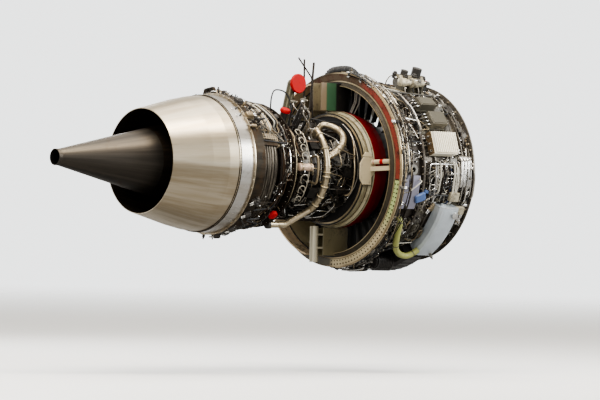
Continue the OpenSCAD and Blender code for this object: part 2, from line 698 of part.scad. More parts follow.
module frame_outer_ring() {
    color("lightslategray") difference() {
        union() {
            turned(concat(duct_line, backward(raised(duct_line, frame_t))));
            band(strip_r + frame_t / 2, joint_r, s_frame, s_frame + flange_t);
            band(strip_r + 20, ring_r, s_frame + 130, s_frame + 142);
            band(strip_r + 30, ring_r + 8, s_frame + 238, s_frame + 250);
            band(radius_at(duct_line, s_groove - 12) + frame_t / 2, ring_r + 40, s_groove - 12, s_groove);
        }
        turned([[1, s_frame - 1], [strip_r, s_frame - 1], duct_line[0], duct_line[1], duct_line[2],
            [duct_r, s_ring_end + 1], [1, s_ring_end + 1]]);
    }
}

module handling_bosses() {
    color("lightslategray") difference() {
        for (clock = [90, 270]) at(clock, s_boss, ring_r - 34)
            cylinder(r = boss_bore_r + 22, h = boss_top - ring_r + 34);
        for (clock = [90, 270]) at(clock, s_boss, ring_r - 10) cylinder(r = boss_bore_r, h = 90);
        turned([[1, s_boss - 80], [radius_at(duct_line, s_boss - 80) + frame_t + fit, s_boss - 80],
            [duct_line[1][0] + frame_t + fit, duct_line[1][1]],
            [radius_at(duct_line, s_boss + 80) + frame_t + fit, s_boss + 80], [1, s_boss + 80]], $fn = 144);
    }
}

module outer_groove_ring() {
    color("darkslategray") turned([[ring_r + fit, s_groove], [groove_r, s_groove],
        [groove_r, s_groove + groove_len * 0.2], [groove_r - 20, s_groove + groove_len * 0.5],
        [groove_r, s_groove + groove_len * 0.8], [groove_r, s_ring_end], [ring_r + fit, s_ring_end]]);
}

module seal_band_upper() {
    color("indianred") band(groove_r - 10 - band_w, groove_r - 10, s_ring_end, s_ring_end + 5, -88, 96);
}

module seal_band_lower() {
    color("khaki") band(groove_r - 10 - band_w, groove_r - 10, s_ring_end, s_ring_end + 5, 97, 271);
}

module duct_lip() {
    color("dimgray") band(ring_r, ring_r + 12, s_ring_end, s_ring_end + lip_len, 196, 344);
}

module between_walls(end) {
    intersection() {
        turned([[radius_at(wall_line, s_wall) + fit, s_wall],
            wall_line[1] + [fit, 0], wall_line[2] + [fit, 0],
            [wall_r + fit, end], [duct_r - fit, end], [duct_r - fit, s_ring_end],
            [duct_line[1][0] - fit, duct_line[1][1]],
            [radius_at(duct_line, s_wall) - fit, s_wall]], $fn = 144);
        children();
    }
}

module fairing(clock, width, end) {
    t = 7;
    difference() {
        between_walls(end) at(clock, 0, wall_r - 60) linear_extrude(duct_r - wall_r + 120) difference() {
            fairing_outline(width, 0, end);
            fairing_outline(width - 2 * t, t, end + 10);
        }
    }
}

module fairing_outline(width, inset, end) {
    polygon([[-end, -width / 2], [-s_wall - 110, -width / 2], [-s_wall - 60, -width * 0.42],
        [-s_wall - 25 - inset, -width * 0.25], [-s_wall - 8 - inset, 0], [-s_wall - 25 - inset, width * 0.25],
        [-s_wall - 60, width * 0.42], [-s_wall - 110, width / 2], [-end, width / 2]]);
}

module upper_bifurcation() {
    color("olivedrab") fairing(0, upper_w, s_ring_end + upper_tail);
}

// The lower fairing carries a pipe behind it, on two webs.
module lower_bifurcation() {
    end = s_ring_end + lower_tail;
    s_tube = end + 64;
    color("darkkhaki") {
        fairing(180, lower_w, end);
        at(180, s_tube, wall_r - 14) cylinder(r = 34, h = duct_r - wall_r + 66);
        for (r = [wall_r + 45, duct_r - 70]) at(180, s_tube, r) translate([0, 2 - lower_w / 2, 0])
            cube([s_tube - end + 14, lower_w - 4, 16]);
    }
}

strut_foot = s_cream + 50;
strut_head = s_ring_end - 24;
strut_lean = atan((strut_foot - strut_head) / (duct_r - wall_r));

// A pair of bars across the duct on a six-sided foot plate; up is 1 to starboard and -1 to port.
module side_strut(clock, up) {
    reach = duct_r - wall_r + 60;
    between_walls(s_cream_end + 40) at(clock, strut_foot, wall_r) rotate([0, strut_lean, 0]) {
        translate([0, up * 29, 0]) cylinder(r = 19, h = reach);
        translate([-17, -up * 25 - 18, 0]) cube([34, 36, reach]);
    }
    intersection() {
        turned([[wall_r + fit, strut_foot - 50], [wall_r + 9, strut_foot - 50],
            [wall_r + 9, strut_foot + 80], [wall_r + fit, strut_foot + 80]], clock - 20, clock + 20);
        at(clock, strut_foot, wall_r - 40) linear_extrude(60) polygon([[45, -42], [-4, -106],
            [-40, -110], [-76, -80], [-76, 80], [-40, 110], [-4, 106], [45, 42]]);
    }
    turned([[wall_r - 24 + fit, s_cream + 66], [wall_r + 2, s_cream + 66], [wall_r + 2, s_cream_end - 2],
        [wall_r - 24 + fit, s_cream_end - 2]], clock - 8, clock + 8);
}

module strut_starboard() {
    color("beige") side_strut(87, 1);
}

module strut_port() {
    color("beige") side_strut(273, -1);
}

module guide_vanes() {
    root = radius_at(split_line, s_split + 160) + fit;
    tip = radius_at(duct_line, s_split + 88) - 2 * fit;
    color("dimgray") for (i = [0:vane_n - 1]) at((i + 0.5) * 360 / vane_n, s_split + 125, root)
        rotate([0, 0, 12]) linear_extrude(tip - root) polygon(foil(70, 6, 5));
}

module splitter_shroud() {
    color("gray") turned(wall(split_line, wall_t));
}

module inner_duct_wall() {
    color("firebrick") turned(wall(wall_line, wall_t));
}

module inner_groove_ring() {
    color("cornsilk") turned([[wall_r, s_cream], [wall_r, s_cream + 8], [wall_r - 24, s_cream + 30],
        [wall_r - 24, s_cream + 44], [wall_r - 38, s_cream + 54], [wall_r - 24, s_cream + 64],
        [wall_r - 24, s_cream_end], [wall_r - 46, s_cream_end], [wall_r - 46, s_cream + 24],
        [wall_r - 18, s_cream + 6], [wall_r - 18, s_cream]]);
}

s_fire = s_hpc - 12;

module firewall() {
    color("dimgray") difference() {
        band(radius_at(neck_out, s_fire - 4) + core_t + fit, wall_r - 46 - fit, s_fire - 4, s_fire);
        for (clock = [24:48:312]) at(clock, s_fire - 12, (hpc_r + wall_r - 46) / 2)
            rotate([0, 90, 0]) cylinder(r = 20, h = 24);
    }
}

module frame_hub() {
    s_web = s_boost + 55;
    s_carry = s_wall + 50;
    color("slategray") {
        turned(concat(raised(neck_out, core_t), backward(neck_out)));
        turned(concat(neck_in, backward(raised(neck_in, -core_t))));
        intersection() {
            for (i = [0:hub_strut_n - 1]) at((i + 0.5) * 360 / hub_strut_n, (s_boost + s_hpc) / 2, 120)
                linear_extrude(240) polygon(foil(110, 16, 0));
            turned(concat(raised(neck_out, 3), backward(raised(neck_in, -3))));
        }
        band(race_r + fit, radius_at(neck_in, s_web) - core_t / 2, s_web, s_web + 10);
        band(race_r + fit, race_r + 10, s_boost + 6, s_web + 2);
        band(race_r + fit, radius_at(neck_in, s_hpc - 30) - core_t / 2, s_hpc - 30, s_hpc - 20);
        band(race_r + fit, race_r + 10, s_hpc - 34, s_hpc);
        band(radius_at(neck_out, s_carry) + core_t / 2, radius_at(wall_line, s_carry) - wall_t - fit,
            s_carry, s_carry + 10);
        band(hpc_r + 4, hpc_r + 30, s_hpc - 10, s_hpc);
    }
}

pad_z = ring_r + 34;
s_pad = s_frame + 190;

module front_mount() {
    color("gray") difference() {
        translate([-inlet_len - s_pad - mount_dx / 2 - 28, -mount_dy / 2 - 32, ring_r - 26])
            cube([mount_dx + 56, mount_dy + 64, pad_z - ring_r + 26]);
        turned([[1, s_pad - 200], [ring_r + fit, s_pad - 200], [ring_r + fit, s_frame + 236],
            [ring_r + 8 + fit, s_frame + 236], [ring_r + 8 + fit, s_pad + 200], [1, s_pad + 200]], $fn = 288);
        for (x = [-1, 1], y = [-1, 1])
            translate([-inlet_len - s_pad + x * mount_dx / 2, y * mount_dy / 2, ring_r - 40])
            cylinder(r = mount_bolt_r, h = 120);
    }
}

// Bleed ducts on the core

duct_bore_r = 26;
bleed_r = 380;
s_bleed = s_comb - 158;
elbow_end = 150;

// A clamp collar on a duct that follows the case.
module collar(clock, s) {
    at(clock, s, bleed_r) rotate([90, 0, 0]) cylinder(r = duct_bore_r + 7, h = 10, center = true);
}

// A post that stands on the compressor case and carries a duct.
module post(clock, s) {
    r = radius_at(hpc_line, s - 8) + core_t + fit;
    at(clock, s, r) cylinder(r = 8, h = bleed_r - duct_bore_r + 5 - r);
}

// The hook duct leaves the bleed duct along this line.
hook_root = spot(79, s_bleed, bleed_r);
hook_aim = spot(71, s_bleed - 110, bleed_r) - hook_root;
hook_way = hook_aim / norm(hook_aim);
hook_joint = duct_bore_r + 24;

module bleed_duct() {
    r = radius_at(hpc_line, s_bleed - duct_bore_r - 12) + core_t + fit;
    color("wheat") {
        hoop(s_bleed, bleed_r, duct_bore_r, 40, 88);
        at(40, s_bleed, bleed_r) sphere(r = duct_bore_r + 1);
        at(40, s_bleed, r) cylinder(r = duct_bore_r, h = bleed_r - r);
        at(40, s_bleed, r) cylinder(r = duct_bore_r + 12, h = 8);
        collar(88, s_bleed);
        post(64, s_bleed);
        pipe(hook_root, hook_root + hook_joint * hook_way, 22);
        pipe(hook_root + (hook_joint - 8) * hook_way, hook_root + hook_joint * hook_way, 28);
    }
}

module bleed_elbow() {
    joint = 88 + (10 + fit) / (bleed_r - duct_bore_r - 7) * 180 / PI;
    under = spot(164, s_inj - 25, comb_r + 125);
    tail = spot(165, s_hpt - 40, comb_r + 127);
    color("wheat") {
        hoop(s_bleed, bleed_r, duct_bore_r, joint, elbow_end);
        at(elbow_end, s_bleed, bleed_r) sphere(r = duct_bore_r + 1);
        pipe(spot(elbow_end, s_bleed, bleed_r), under, duct_bore_r);
        translate(under) sphere(r = duct_bore_r + 1);
        pipe(under, tail, duct_bore_r);
        translate(tail) rotate([0, 90, 0]) cylinder(r = duct_bore_r + 7, h = 10);
        at(165, s_hpt - 80, comb_r + fit) cylinder(r = 8, h = 115);
        collar(joint, s_bleed);
        post(110, s_bleed);
    }
}

// Stations midway between the ribs of the compressor case.
s_gap_a = (hpc_s[0] + hpc_s[1]) / 2 + 22;
s_gap_b = (hpc_s[1] + hpc_s[2]) / 2 + 22;

module bleed_branch() {
    r = 22;
    top = radius_at(hpc_line, s_gap_b - r) + core_t + fit;
    bends = [hook_root + (hook_joint + 60) * hook_way, spot(60, s_gap_a + 14, bleed_r),
        spot(47, s_gap_a - 34, bleed_r), spot(33, s_gap_a - 20, bleed_r), spot(20, s_gap_b, bleed_r)];
    color("wheat") {
        pipe(hook_root + (hook_joint + fit) * hook_way, bends[0], r);
        pipe(hook_root + (hook_joint + fit) * hook_way, hook_root + (hook_joint + 8) * hook_way, r + 6);
        for (i = [0:4]) translate(bends[i]) sphere(r = r + 0.5);
        for (i = [0:3]) pipe(bends[i], bends[i + 1], r);
        at(20, s_gap_b, top) cylinder(r = r, h = bleed_r - top);
        at(54, s_gap_a, radius_at(hpc_line, s_gap_a - 8) + core_t + fit) cylinder(r = 8, h = 115);
    }
}

// Pipes that the aircraft's pylon would take up, standing free at the top of the core.
module pylon_pipes() {
    x = -inlet_len - s_gap_b;
    r = radius_at(hpc_line, s_gap_b - 10) + core_t + fit;
    color("gray") for (line = [
            [[2, 9], [[x, 6, bleed_r + 40], [x + 40, 10, duct_r + 155]]],
            [[-7, 7], [[x - 30, 40, wall_r + 30], [x - 40, 34, duct_r + 178]]],
            [[9.5, 6], [[x - 16, -30, duct_r + 30], [x - 150, -20, duct_r + 182]]]]) {
        foot = spot(line[0][0], s_gap_b, r);
        pipe(foot, line[1][0], line[0][1]);
        translate(line[1][0]) sphere(r = line[0][1] + 0.3);
        pipe(line[1][0], line[1][1], line[0][1]);
        at(line[0][0], s_gap_b, r) cylinder(r = line[0][1] + 3, h = 12, $fn = 6);
    }
}

riser_r = 36;
s_riser = s_comb - 56;
riser_z = comb_r + 130;
riser_top = [-inlet_len - s_riser + 34, -16, duct_r - 28];
riser_out = 62;

module bleed_riser() {
    r = radius_at(hpc_line, s_riser - riser_r - 5) + core_t + fit;
    color("darkolivegreen") {
        at(0, s_riser, r) cylinder(r = riser_r, h = riser_z - r);
        at(0, s_riser, r) cylinder(r = riser_r + 5, h = 10);
        at(0, s_riser, riser_z) sphere(r = riser_r + 1);
        pipe(spot(0, s_riser, riser_z), riser_top, riser_r);
        translate(riser_top) sphere(r = riser_r + 1);
        translate(riser_top) rotate([90, 0, 0]) cylinder(r = riser_r, h = riser_out);
        translate(riser_top - [0, riser_out - 8, 0]) rotate([90, 0, 0]) cylinder(r = riser_r + 26, h = 8);
    }
}

module riser_blank() {
    color("red") translate(riser_top - [0, riser_out + fit, 0]) rotate([90, 0, 0])
        rotate_extrude() polygon([[0, 0], [riser_r + 34, 0], [riser_r + 41, 6], [riser_r + 41, 20],
            [riser_r + 36, 27], [0, 27]]);
}

// Accessories on the fan case

seat_r = rib_r + fit;
gear_top = ring_r + 98;
gear_r = ring_r + 54;
s_gear = case_len * 1 / 3;
gear_end = s_gear + 190;
tank_top = ring_r + 90;
tank_end = s_gear + 118;
box_s = case_len / 2 + 35;

module gearbox() {
    color("dimgray") {
        turned([[seat_r, s_gear], [gear_top - 28, s_gear], [gear_top, s_gear + 28], [gear_top, gear_end - 25],
            [gear_top - 20, gear_end], [seat_r, gear_end]], 150, 214);
        for (clock = [164, 200]) along(clock, gear_end - 5, gear_r - 4, 50, 15);
        for (clock = [158, 182, 206]) along(clock, s_gear - 12, gear_r - 21, 30, 20);
    }
}

module generator() {
    color("gray") {
        along(164, gear_end + 10 + fit, gear_r + 1, 62, 14);
        along(164, gear_end + 20, gear_r + 1, 56, 150);
        along(164, gear_end + 165, gear_r + 1, 46, 20);
    }
}

module starter() {
    color("silver") {
        along(200, gear_end + 10 + fit, gear_r - 2, 58, 12);
        along(200, gear_end + 20, gear_r - 2, 44, 70);
        along(200, gear_end + 80, gear_r - 2, 52, 60);
    }
}

module oil_tank() {
    color("lightgray") {
        turned([[seat_r, 62], [tank_top - 34, 62], [tank_top - 8, 74], [tank_top, 98],
            [tank_top, tank_end - 36], [tank_top - 8, tank_end - 12], [tank_top - 34, tank_end],
            [seat_r, tank_end]], 112, 148);
        at(113.5, tank_end - 58, seat_r + 40) rotate([-80, 0, 0]) cylinder(r = 20, h = 30);
    }
}

// A box on the fan case; w runs round the case and l along it.
module case_box(clock, s, l, w, h, base = seat_r) {
    at(clock, s, base) translate([-l / 2, -w / 2, 0]) cube([l, w, h]);
}

module control_boxes() {
    color("gray") {
        case_box(42, box_s, 190, 108, 12);
        case_box(42, box_s, 170, 92, 62, seat_r + 12);
        case_box(56, box_s - 10, 190, 136, 12);
        case_box(56, box_s - 10, 166, 120, 70, seat_r + 12);
    }
}

module finned_box() {
    color("lightgray") {
        case_box(72.5, box_s - 6, 250, 182, 66);
        for (i = [0:11]) case_box(72.5, box_s - 6 - 115.5 + 21 * i, 7, 172, 26, seat_r + 66);
    }
}

module top_valve() {
    color("gray") {
        case_box(21, box_s - 15, 290, 130, 20);
        for (s = [-70, 60]) at(21, box_s + s, seat_r + 18) cylinder(r = 38, h = 90);
        at(21, box_s - 150, seat_r + 112) rotate([0, -90, 0]) cylinder(r = 38, h = 270);
        at(21, box_s - 70, seat_r + 128) cylinder(r = 40, h = 82);
        at(21, box_s + 60, seat_r + 128) cylinder(r = 30, h = 58);
    }
}

fan_case();
rub_strip();
guide_vanes();
frame_outer_ring();
outer_groove_ring();
seal_band_upper();
seal_band_lower();
duct_lip();
splitter_shroud();
inner_duct_wall();
inner_groove_ring();
firewall();
frame_hub();
booster_case();
booster_stators();
upper_bifurcation();
lower_bifurcation();
strut_starboard();
strut_port();
front_mount();
handling_bosses();
hpc_case();
hpc_stators();
combustor_case();
combustor_liner();
turbine_nozzle();
fuel_nozzles();
fuel_manifold();
turbine_case();
lpt_nozzles();
cooling_tubes();
cooling_manifold();
rear_frame();
exhaust_nozzle();
plug_front();
plug_tail();
bleed_duct();
bleed_elbow();
bleed_branch();
pylon_pipes();
bleed_riser();
riser_blank();
gearbox();
generator();
starter();
oil_tank();
control_boxes();
finned_box();
top_valve();
outer_races();
spinner();
fan_disc();
fan_blades();
booster_rotor();
fan_shaft();
lpt_rotor();
fan_bearings();
hpc_rotor();
hpt_rotor();
core_bearings();
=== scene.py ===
# %% [markdown]
# # A turbofan engine with its cowls off
# The solids of this engine come from the CAD frame: the fan case, the ducts, the core,
# the turbine and the exhaust. This notebook dresses them. Each step says what a piece is on
# the real engine, how it could be made in Blender, and why this way was chosen.
# All lengths are in millimetres in the text and are turned to metres when a mesh is made.

# %% Load the frame
import math
import random

import bpy
import numpy as np
from mathutils import Matrix, Vector


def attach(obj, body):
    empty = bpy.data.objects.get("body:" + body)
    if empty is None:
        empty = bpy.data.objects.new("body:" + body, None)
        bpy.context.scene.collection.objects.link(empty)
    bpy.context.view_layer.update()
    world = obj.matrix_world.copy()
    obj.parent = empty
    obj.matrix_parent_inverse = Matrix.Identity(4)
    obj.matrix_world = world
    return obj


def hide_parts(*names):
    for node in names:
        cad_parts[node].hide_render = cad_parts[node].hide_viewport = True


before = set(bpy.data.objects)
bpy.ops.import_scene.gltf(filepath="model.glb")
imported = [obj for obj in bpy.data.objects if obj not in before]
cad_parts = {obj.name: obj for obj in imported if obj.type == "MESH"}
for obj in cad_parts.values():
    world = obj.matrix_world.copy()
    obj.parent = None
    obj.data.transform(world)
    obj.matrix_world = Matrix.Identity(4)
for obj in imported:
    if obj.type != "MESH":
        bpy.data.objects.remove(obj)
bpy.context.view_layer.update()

# %% [markdown]
# ## The camera
# The photograph was taken from behind and to starboard, a little below the engine axis, with a
# long lens. The camera stands on a line from a point on the axis and is turned so that this
# point lands where the photograph has it, so no lens shift is needed.

# %% Camera
AZIMUTH, ELEVATION, ROLL = math.radians(-42), math.radians(-1.6), math.radians(1.2)
AXIS_POINT = Vector((-0.91, 0, 0))
PHOTO_WIDTH = 600
LENS_PIXELS = 3000
AIM_RIGHT, AIM_UP = 31 / LENS_PIXELS, 30.5 / LENS_PIXELS
CAMERA_DISTANCE = 24.0
SENSOR_WIDTH = 36


def make_camera():
    """Looks at the axis point from the photograph's side, then turns a little off it."""
    back = Vector((math.sin(AZIMUTH) * math.cos(ELEVATION),
                   -math.cos(AZIMUTH) * math.cos(ELEVATION), math.sin(ELEVATION)))
    right = Vector((math.cos(AZIMUTH), math.sin(AZIMUTH), 0))
    up = back.cross(right)
    right, up = (right * math.cos(ROLL) + up * math.sin(ROLL),
                 up * math.cos(ROLL) - right * math.sin(ROLL))
    ahead = (-back - right * AIM_RIGHT - up * AIM_UP).normalized()
    side = (right - ahead * right.dot(ahead)).normalized()
    top = side.cross(ahead)
    data = bpy.data.cameras.new("camera")
    data.sensor_width = SENSOR_WIDTH
    data.lens = SENSOR_WIDTH * LENS_PIXELS / PHOTO_WIDTH
    data.clip_end = 200
    camera = bpy.data.objects.new("camera", data)
    camera.matrix_world = Matrix((side, top, -ahead)).transposed().to_4x4()
    camera.location = AXIS_POINT + back * CAMERA_DISTANCE
    bpy.context.scene.collection.objects.link(camera)
    bpy.context.scene.camera = camera
    return camera


camera = make_camera()
print("camera at", tuple(round(v, 2) for v in camera.location))

# %% [markdown]
# ## Floor, sky and lamps
# Polished metal shows what is around it more than it shows itself. So the sky that the metal sees
# has bands, as a workshop has: a bright strip of windows at eye level, a darker wall above it, a
# strip of roof lights, and a grey floor below. The camera itself sees only an even pale backdrop,
# because a Light Path node tells camera rays from reflected ones. The floor does the same: it is
# pale in the picture, and as dark as a workshop floor where the metal mirrors it.

# %% Floor
FLOOR_Z = -1.62
FLOOR_REACH = 60
FLOOR_SEEN = (0.84, 0.84, 0.83, 1)
FLOOR_MIRRORED = (0.20, 0.20, 0.20, 1)
FADE_FROM, FADE_TO = 6, 55


def fade_out(paint, shader):
    """Lets a floor end softly far away, so that no hard line crosses the picture."""
    nodes, links = paint.node_tree.nodes, paint.node_tree.links
    place, length = nodes.new("ShaderNodeTexCoord"), nodes.new("ShaderNodeVectorMath")
    length.operation = "LENGTH"
    span = nodes.new("ShaderNodeMapRange")
    span.interpolation_type = "SMOOTHSTEP"
    span.inputs["From Min"].default_value = FADE_FROM
    span.inputs["From Max"].default_value = FADE_TO
    clear, both = nodes.new("ShaderNodeBsdfTransparent"), nodes.new("ShaderNodeMixShader")
    links.new(place.outputs["Object"], length.inputs[0])
    links.new(length.outputs["Value"], span.inputs["Value"])
    links.new(span.outputs["Result"], both.inputs["Fac"])
    links.new(shader.outputs[0], both.inputs[1])
    links.new(clear.outputs[0], both.inputs[2])
    links.new(both.outputs[0], nodes["Material Output"].inputs["Surface"])


def make_floor():
    """A plain square that is pale to the camera and darker to the metal that mirrors it."""
    corners = [(x * FLOOR_REACH, y * FLOOR_REACH, FLOOR_Z)
               for x, y in ((-1, -1), (1, -1), (1, 1), (-1, 1))]
    mesh = bpy.data.meshes.new("floor")
    mesh.from_pydata(corners, [], [(0, 1, 2, 3)])
    floor = bpy.data.objects.new("floor", mesh)
    bpy.context.scene.collection.objects.link(floor)
    paint = bpy.data.materials.new("floor_paint")
    paint.use_nodes = True
    shader = paint.node_tree.nodes["Principled BSDF"]
    seen = paint.node_tree.nodes.new("ShaderNodeLightPath")
    choose = paint.node_tree.nodes.new("ShaderNodeMix")
    choose.data_type = "RGBA"
    choose.inputs[6].default_value = FLOOR_MIRRORED
    choose.inputs[7].default_value = FLOOR_SEEN
    paint.node_tree.links.new(seen.outputs["Is Camera Ray"], choose.inputs["Factor"])
    paint.node_tree.links.new(choose.outputs[2], shader.inputs["Base Color"])
    shader.inputs["Roughness"].default_value = 0.6
    fade_out(paint, shader)
    mesh.materials.append(paint)


make_floor()
print("floor at", FLOOR_Z)

# %% Sky
BACKDROP = (1.55, 1.58, 1.58, 1)
SKY_LOWEST, SKY_HIGHEST = (0.30, (0.20, 0.195, 0.19, 1)), (1.0, (0.74, 0.71, 0.66, 1))
SKY_BANDS = ((0.42, (0.38, 0.37, 0.35, 1)), (0.465, (0.92, 0.94, 0.96, 1)),
             (0.56, (1.08, 1.08, 1.06, 1)), (0.71, (0.86, 0.85, 0.82, 1)),
             (0.78, (0.46, 0.42, 0.36, 1)), (0.87, (0.36, 0.32, 0.27, 1)),
             (0.915, (0.72, 0.66, 0.57, 1)), (0.945, (1.20, 1.10, 0.95, 1)))


def make_sky():
    """Bands of light and dark by height for the metal, and an even backdrop for the camera."""
    world = bpy.data.worlds.new("studio")
    bpy.context.scene.world = world
    world.use_nodes = True
    tree = world.node_tree
    background = tree.nodes["Background"]
    where = tree.nodes.new("ShaderNodeTexCoord")
    split = tree.nodes.new("ShaderNodeSeparateXYZ")
    ramp = tree.nodes.new("ShaderNodeValToRGB")
    stops = ramp.color_ramp.elements
    stops[0].position, stops[0].color = SKY_LOWEST
    stops[1].position, stops[1].color = SKY_HIGHEST
    for place, shade in SKY_BANDS:
        stops.new(place).color = shade
    half = tree.nodes.new("ShaderNodeMapRange")
    half.inputs["From Min"].default_value = -1
    seen = tree.nodes.new("ShaderNodeLightPath")
    choose = tree.nodes.new("ShaderNodeMix")
    choose.data_type = "RGBA"
    choose.inputs[7].default_value = BACKDROP
    tree.links.new(where.outputs["Generated"], split.inputs[0])
    tree.links.new(split.outputs["Z"], half.inputs["Value"])
    tree.links.new(half.outputs["Result"], ramp.inputs["Fac"])
    tree.links.new(ramp.outputs["Color"], choose.inputs[6])
    tree.links.new(seen.outputs["Is Camera Ray"], choose.inputs["Factor"])
    tree.links.new(choose.outputs[2], background.inputs["Color"])
    background.inputs["Strength"].default_value = 1.0


make_sky()
print("sky bands:", len(SKY_BANDS) + 2)

# %% Lamps
def soft_lamp(name, place, aim, width, height, watts, tint=(1, 1, 1)):
    """A rectangle of light that stands at a place and faces a point on the engine."""
    data = bpy.data.lights.new(name, "AREA")
    data.shape = "RECTANGLE"
    data.size, data.size_y = width, height
    data.energy = watts
    data.color = tint
    lamp = bpy.data.objects.new(name, data)
    lamp.location = place
    lamp.rotation_euler = (Vector(aim) - Vector(place)).to_track_quat("-Z", "Y").to_euler()
    bpy.context.scene.collection.objects.link(lamp)


develop = bpy.context.scene.view_settings
develop.view_transform = "AgX"
develop.look = "AgX - Medium High Contrast"
develop.exposure = 0.25
soft_lamp("roof_lamp", (-2.4, -2.0, 5.5), (-1.4, 0, 0), 7.0, 1.6, 370, (1.0, 0.92, 0.80))
soft_lamp("window_lamp", (4.0, -6.5, 2.6), (-0.6, 0, 0), 3.0, 3.0, 430, (0.95, 0.98, 1.0))
soft_lamp("door_lamp", (-8.5, -5.5, 2.4), (-1.8, 0, 0), 2.0, 3.5, 300, (1.0, 0.98, 0.95))
soft_lamp("back_lamp", (-1.0, 7.0, 3.5), (-1.0, 0, 0.2), 5.0, 2.5, 280)
soft_lamp("floor_wash", (-1.0, 0.0, 9.0), (-1.0, 0, -1.6), 12.0, 12.0, 900)


# %% [markdown]
# ## Shared effects
# Nearly every finish on an engine follows its axis: sheets are rolled and brushed round it, and
# soot and heat tint run along it. So the effects below are shader node groups that work in
# coordinates along and around the axis. Each is built once and used with different values.

# %% Colours and units
LEAD = 110
METRES = 0.001


def tone(red, green, blue):
    """A screen colour from 0 to 255 as Blender's linear colour."""
    def channel(value):
        value /= 255
        return value / 12.92 if value <= 0.04045 else ((value + 0.055) / 1.055) ** 2.4
    return (channel(red), channel(green), channel(blue), 1)


print("mid grey is", [round(value, 3) for value in tone(128, 128, 128)])

# %% A small helper that builds node trees
class Tree:
    """Adds nodes and links to one tree, with inputs given by name."""

    def __init__(self, tree):
        self.tree = tree

    def node(self, kind, settings=None, **inputs):
        made = self.tree.nodes.new("ShaderNode" + kind)
        for key, value in (settings or {}).items():
            setattr(made, key, value)
        for key, value in inputs.items():
            self.feed(made.inputs[key.replace("_", " ")], value)
        return made

    def feed(self, socket, value):
        if isinstance(value, bpy.types.NodeSocket):
            self.tree.links.new(value, socket)
        else:
            socket.default_value = value

    def math(self, operation, first, second=0.0):
        made = self.tree.nodes.new("ShaderNodeMath")
        made.operation = operation
        self.feed(made.inputs[0], first)
        self.feed(made.inputs[1], second)
        return made.outputs[0]

    def mix(self, factor, first, second):
        made = self.tree.nodes.new("ShaderNodeMix")
        made.data_type = "RGBA"
        self.feed(made.inputs["Factor"], factor)
        self.feed(made.inputs[6], first)
        self.feed(made.inputs[7], second)
        return made.outputs[2]

    def mix_value(self, factor, first, second):
        made = self.tree.nodes.new("ShaderNodeMix")
        self.feed(made.inputs["Factor"], factor)
        self.feed(made.inputs[2], first)
        self.feed(made.inputs[3], second)
        return made.outputs[0]

    def ramp(self, factor, *stops):
        made = self.tree.nodes.new("ShaderNodeValToRGB")
        self.feed(made.inputs["Fac"], factor)
        points = made.color_ramp.elements
        points[0].position, points[0].color = stops[0]
        points[1].position, points[1].color = stops[-1]
        for place, colour in stops[1:-1]:
            points.new(place).color = colour
        return made.outputs["Color"]

    def span(self, value, low, high, to_low=0.0, to_high=1.0):
        made = self.tree.nodes.new("ShaderNodeMapRange")
        for key, given in (("Value", value), ("From Min", low), ("From Max", high),
                           ("To Min", to_low), ("To Max", to_high)):
            self.feed(made.inputs[key], given)
        return made.outputs["Result"]

    def group(self, name, **inputs):
        made = self.tree.nodes.new("ShaderNodeGroup")
        made.node_tree = bpy.data.node_groups[name]
        for key, value in inputs.items():
            self.feed(made.inputs[key.replace("_", " ")], value)
        return made


print("tree helper has", [name for name in vars(Tree) if not name.startswith("_")])

# %% Coordinates along and around the axis
def build_group(name, inputs, outputs, fill):
    """A shader node group with named sockets, filled by a function."""
    group = bpy.data.node_groups.new(name, "ShaderNodeTree")
    for key, default in inputs.items():
        kind = "NodeSocketColor" if isinstance(default, tuple) else "NodeSocketFloat"
        socket = group.interface.new_socket(key, in_out="INPUT", socket_type=kind)
        socket.default_value = default
    for key, kind in outputs.items():
        group.interface.new_socket(key, in_out="OUTPUT", socket_type="NodeSocket" + kind)
    entry = group.nodes.new("NodeGroupInput")
    leave = group.nodes.new("NodeGroupOutput")
    made = fill(Tree(group), entry.outputs)
    for key, value in made.items():
        group.links.new(value, leave.inputs[key])
    print("node group:", name)


def fill_around_axis(t, given):
    """Station in metres, and how far a point lies up, to port and out from the axis."""
    place = t.node("SeparateXYZ", None, Vector=t.node("TexCoord").outputs["Object"]).outputs
    radius = t.math("SQRT", t.math("ADD", t.math("MULTIPLY", place["Y"], place["Y"]),
                                   t.math("MULTIPLY", place["Z"], place["Z"])))
    radius = t.math("MAXIMUM", radius, 0.001)
    side = t.math("DIVIDE", place["Y"], radius)
    rise = t.math("DIVIDE", place["Z"], radius)
    made = t.node("CombineXYZ", None, X=t.math("MULTIPLY", place["X"], given["Along"]),
                  Y=t.math("MULTIPLY", side, given["Around"]),
                  Z=t.math("MULTIPLY", rise, given["Around"]))
    return {"Vector": made.outputs[0], "Station": t.math("SUBTRACT", -LEAD * METRES, place["X"]),
            "Rise": rise, "Side": side, "Radius": radius}


build_group("around_axis", {"Along": 1.0, "Around": 1.0},
            {"Vector": "Vector", "Station": "Float", "Rise": "Float", "Side": "Float",
             "Radius": "Float"}, fill_around_axis)

# %% [markdown]
# ## Streaks, grime, scratches and wear
# Streaks are noise stretched along the axis or round it. Grime is a cloudy mask that says where
# oil and soot have settled. Worn paint mixes three colours by those masks: the paint, the bare
# metal where it has rubbed off, and the dirt on top. Groups keep the recipe in one place, so the
# finishes stay alike in kind and differ only in their numbers.

# %% Streaks and grime
def fill_streaks(t, given):
    """Noise stretched along or round the axis."""
    where = t.group("around_axis", Along=given["Along"], Around=given["Around"])
    noise = t.node("TexNoise", None, Vector=where.outputs["Vector"], Scale=1.0, Detail=5.0,
                   Roughness=0.62)
    low = t.math("SUBTRACT", 0.5, given["Softness"])
    high = t.math("ADD", 0.5, given["Softness"])
    return {"Mask": t.span(noise.outputs["Fac"], low, high)}


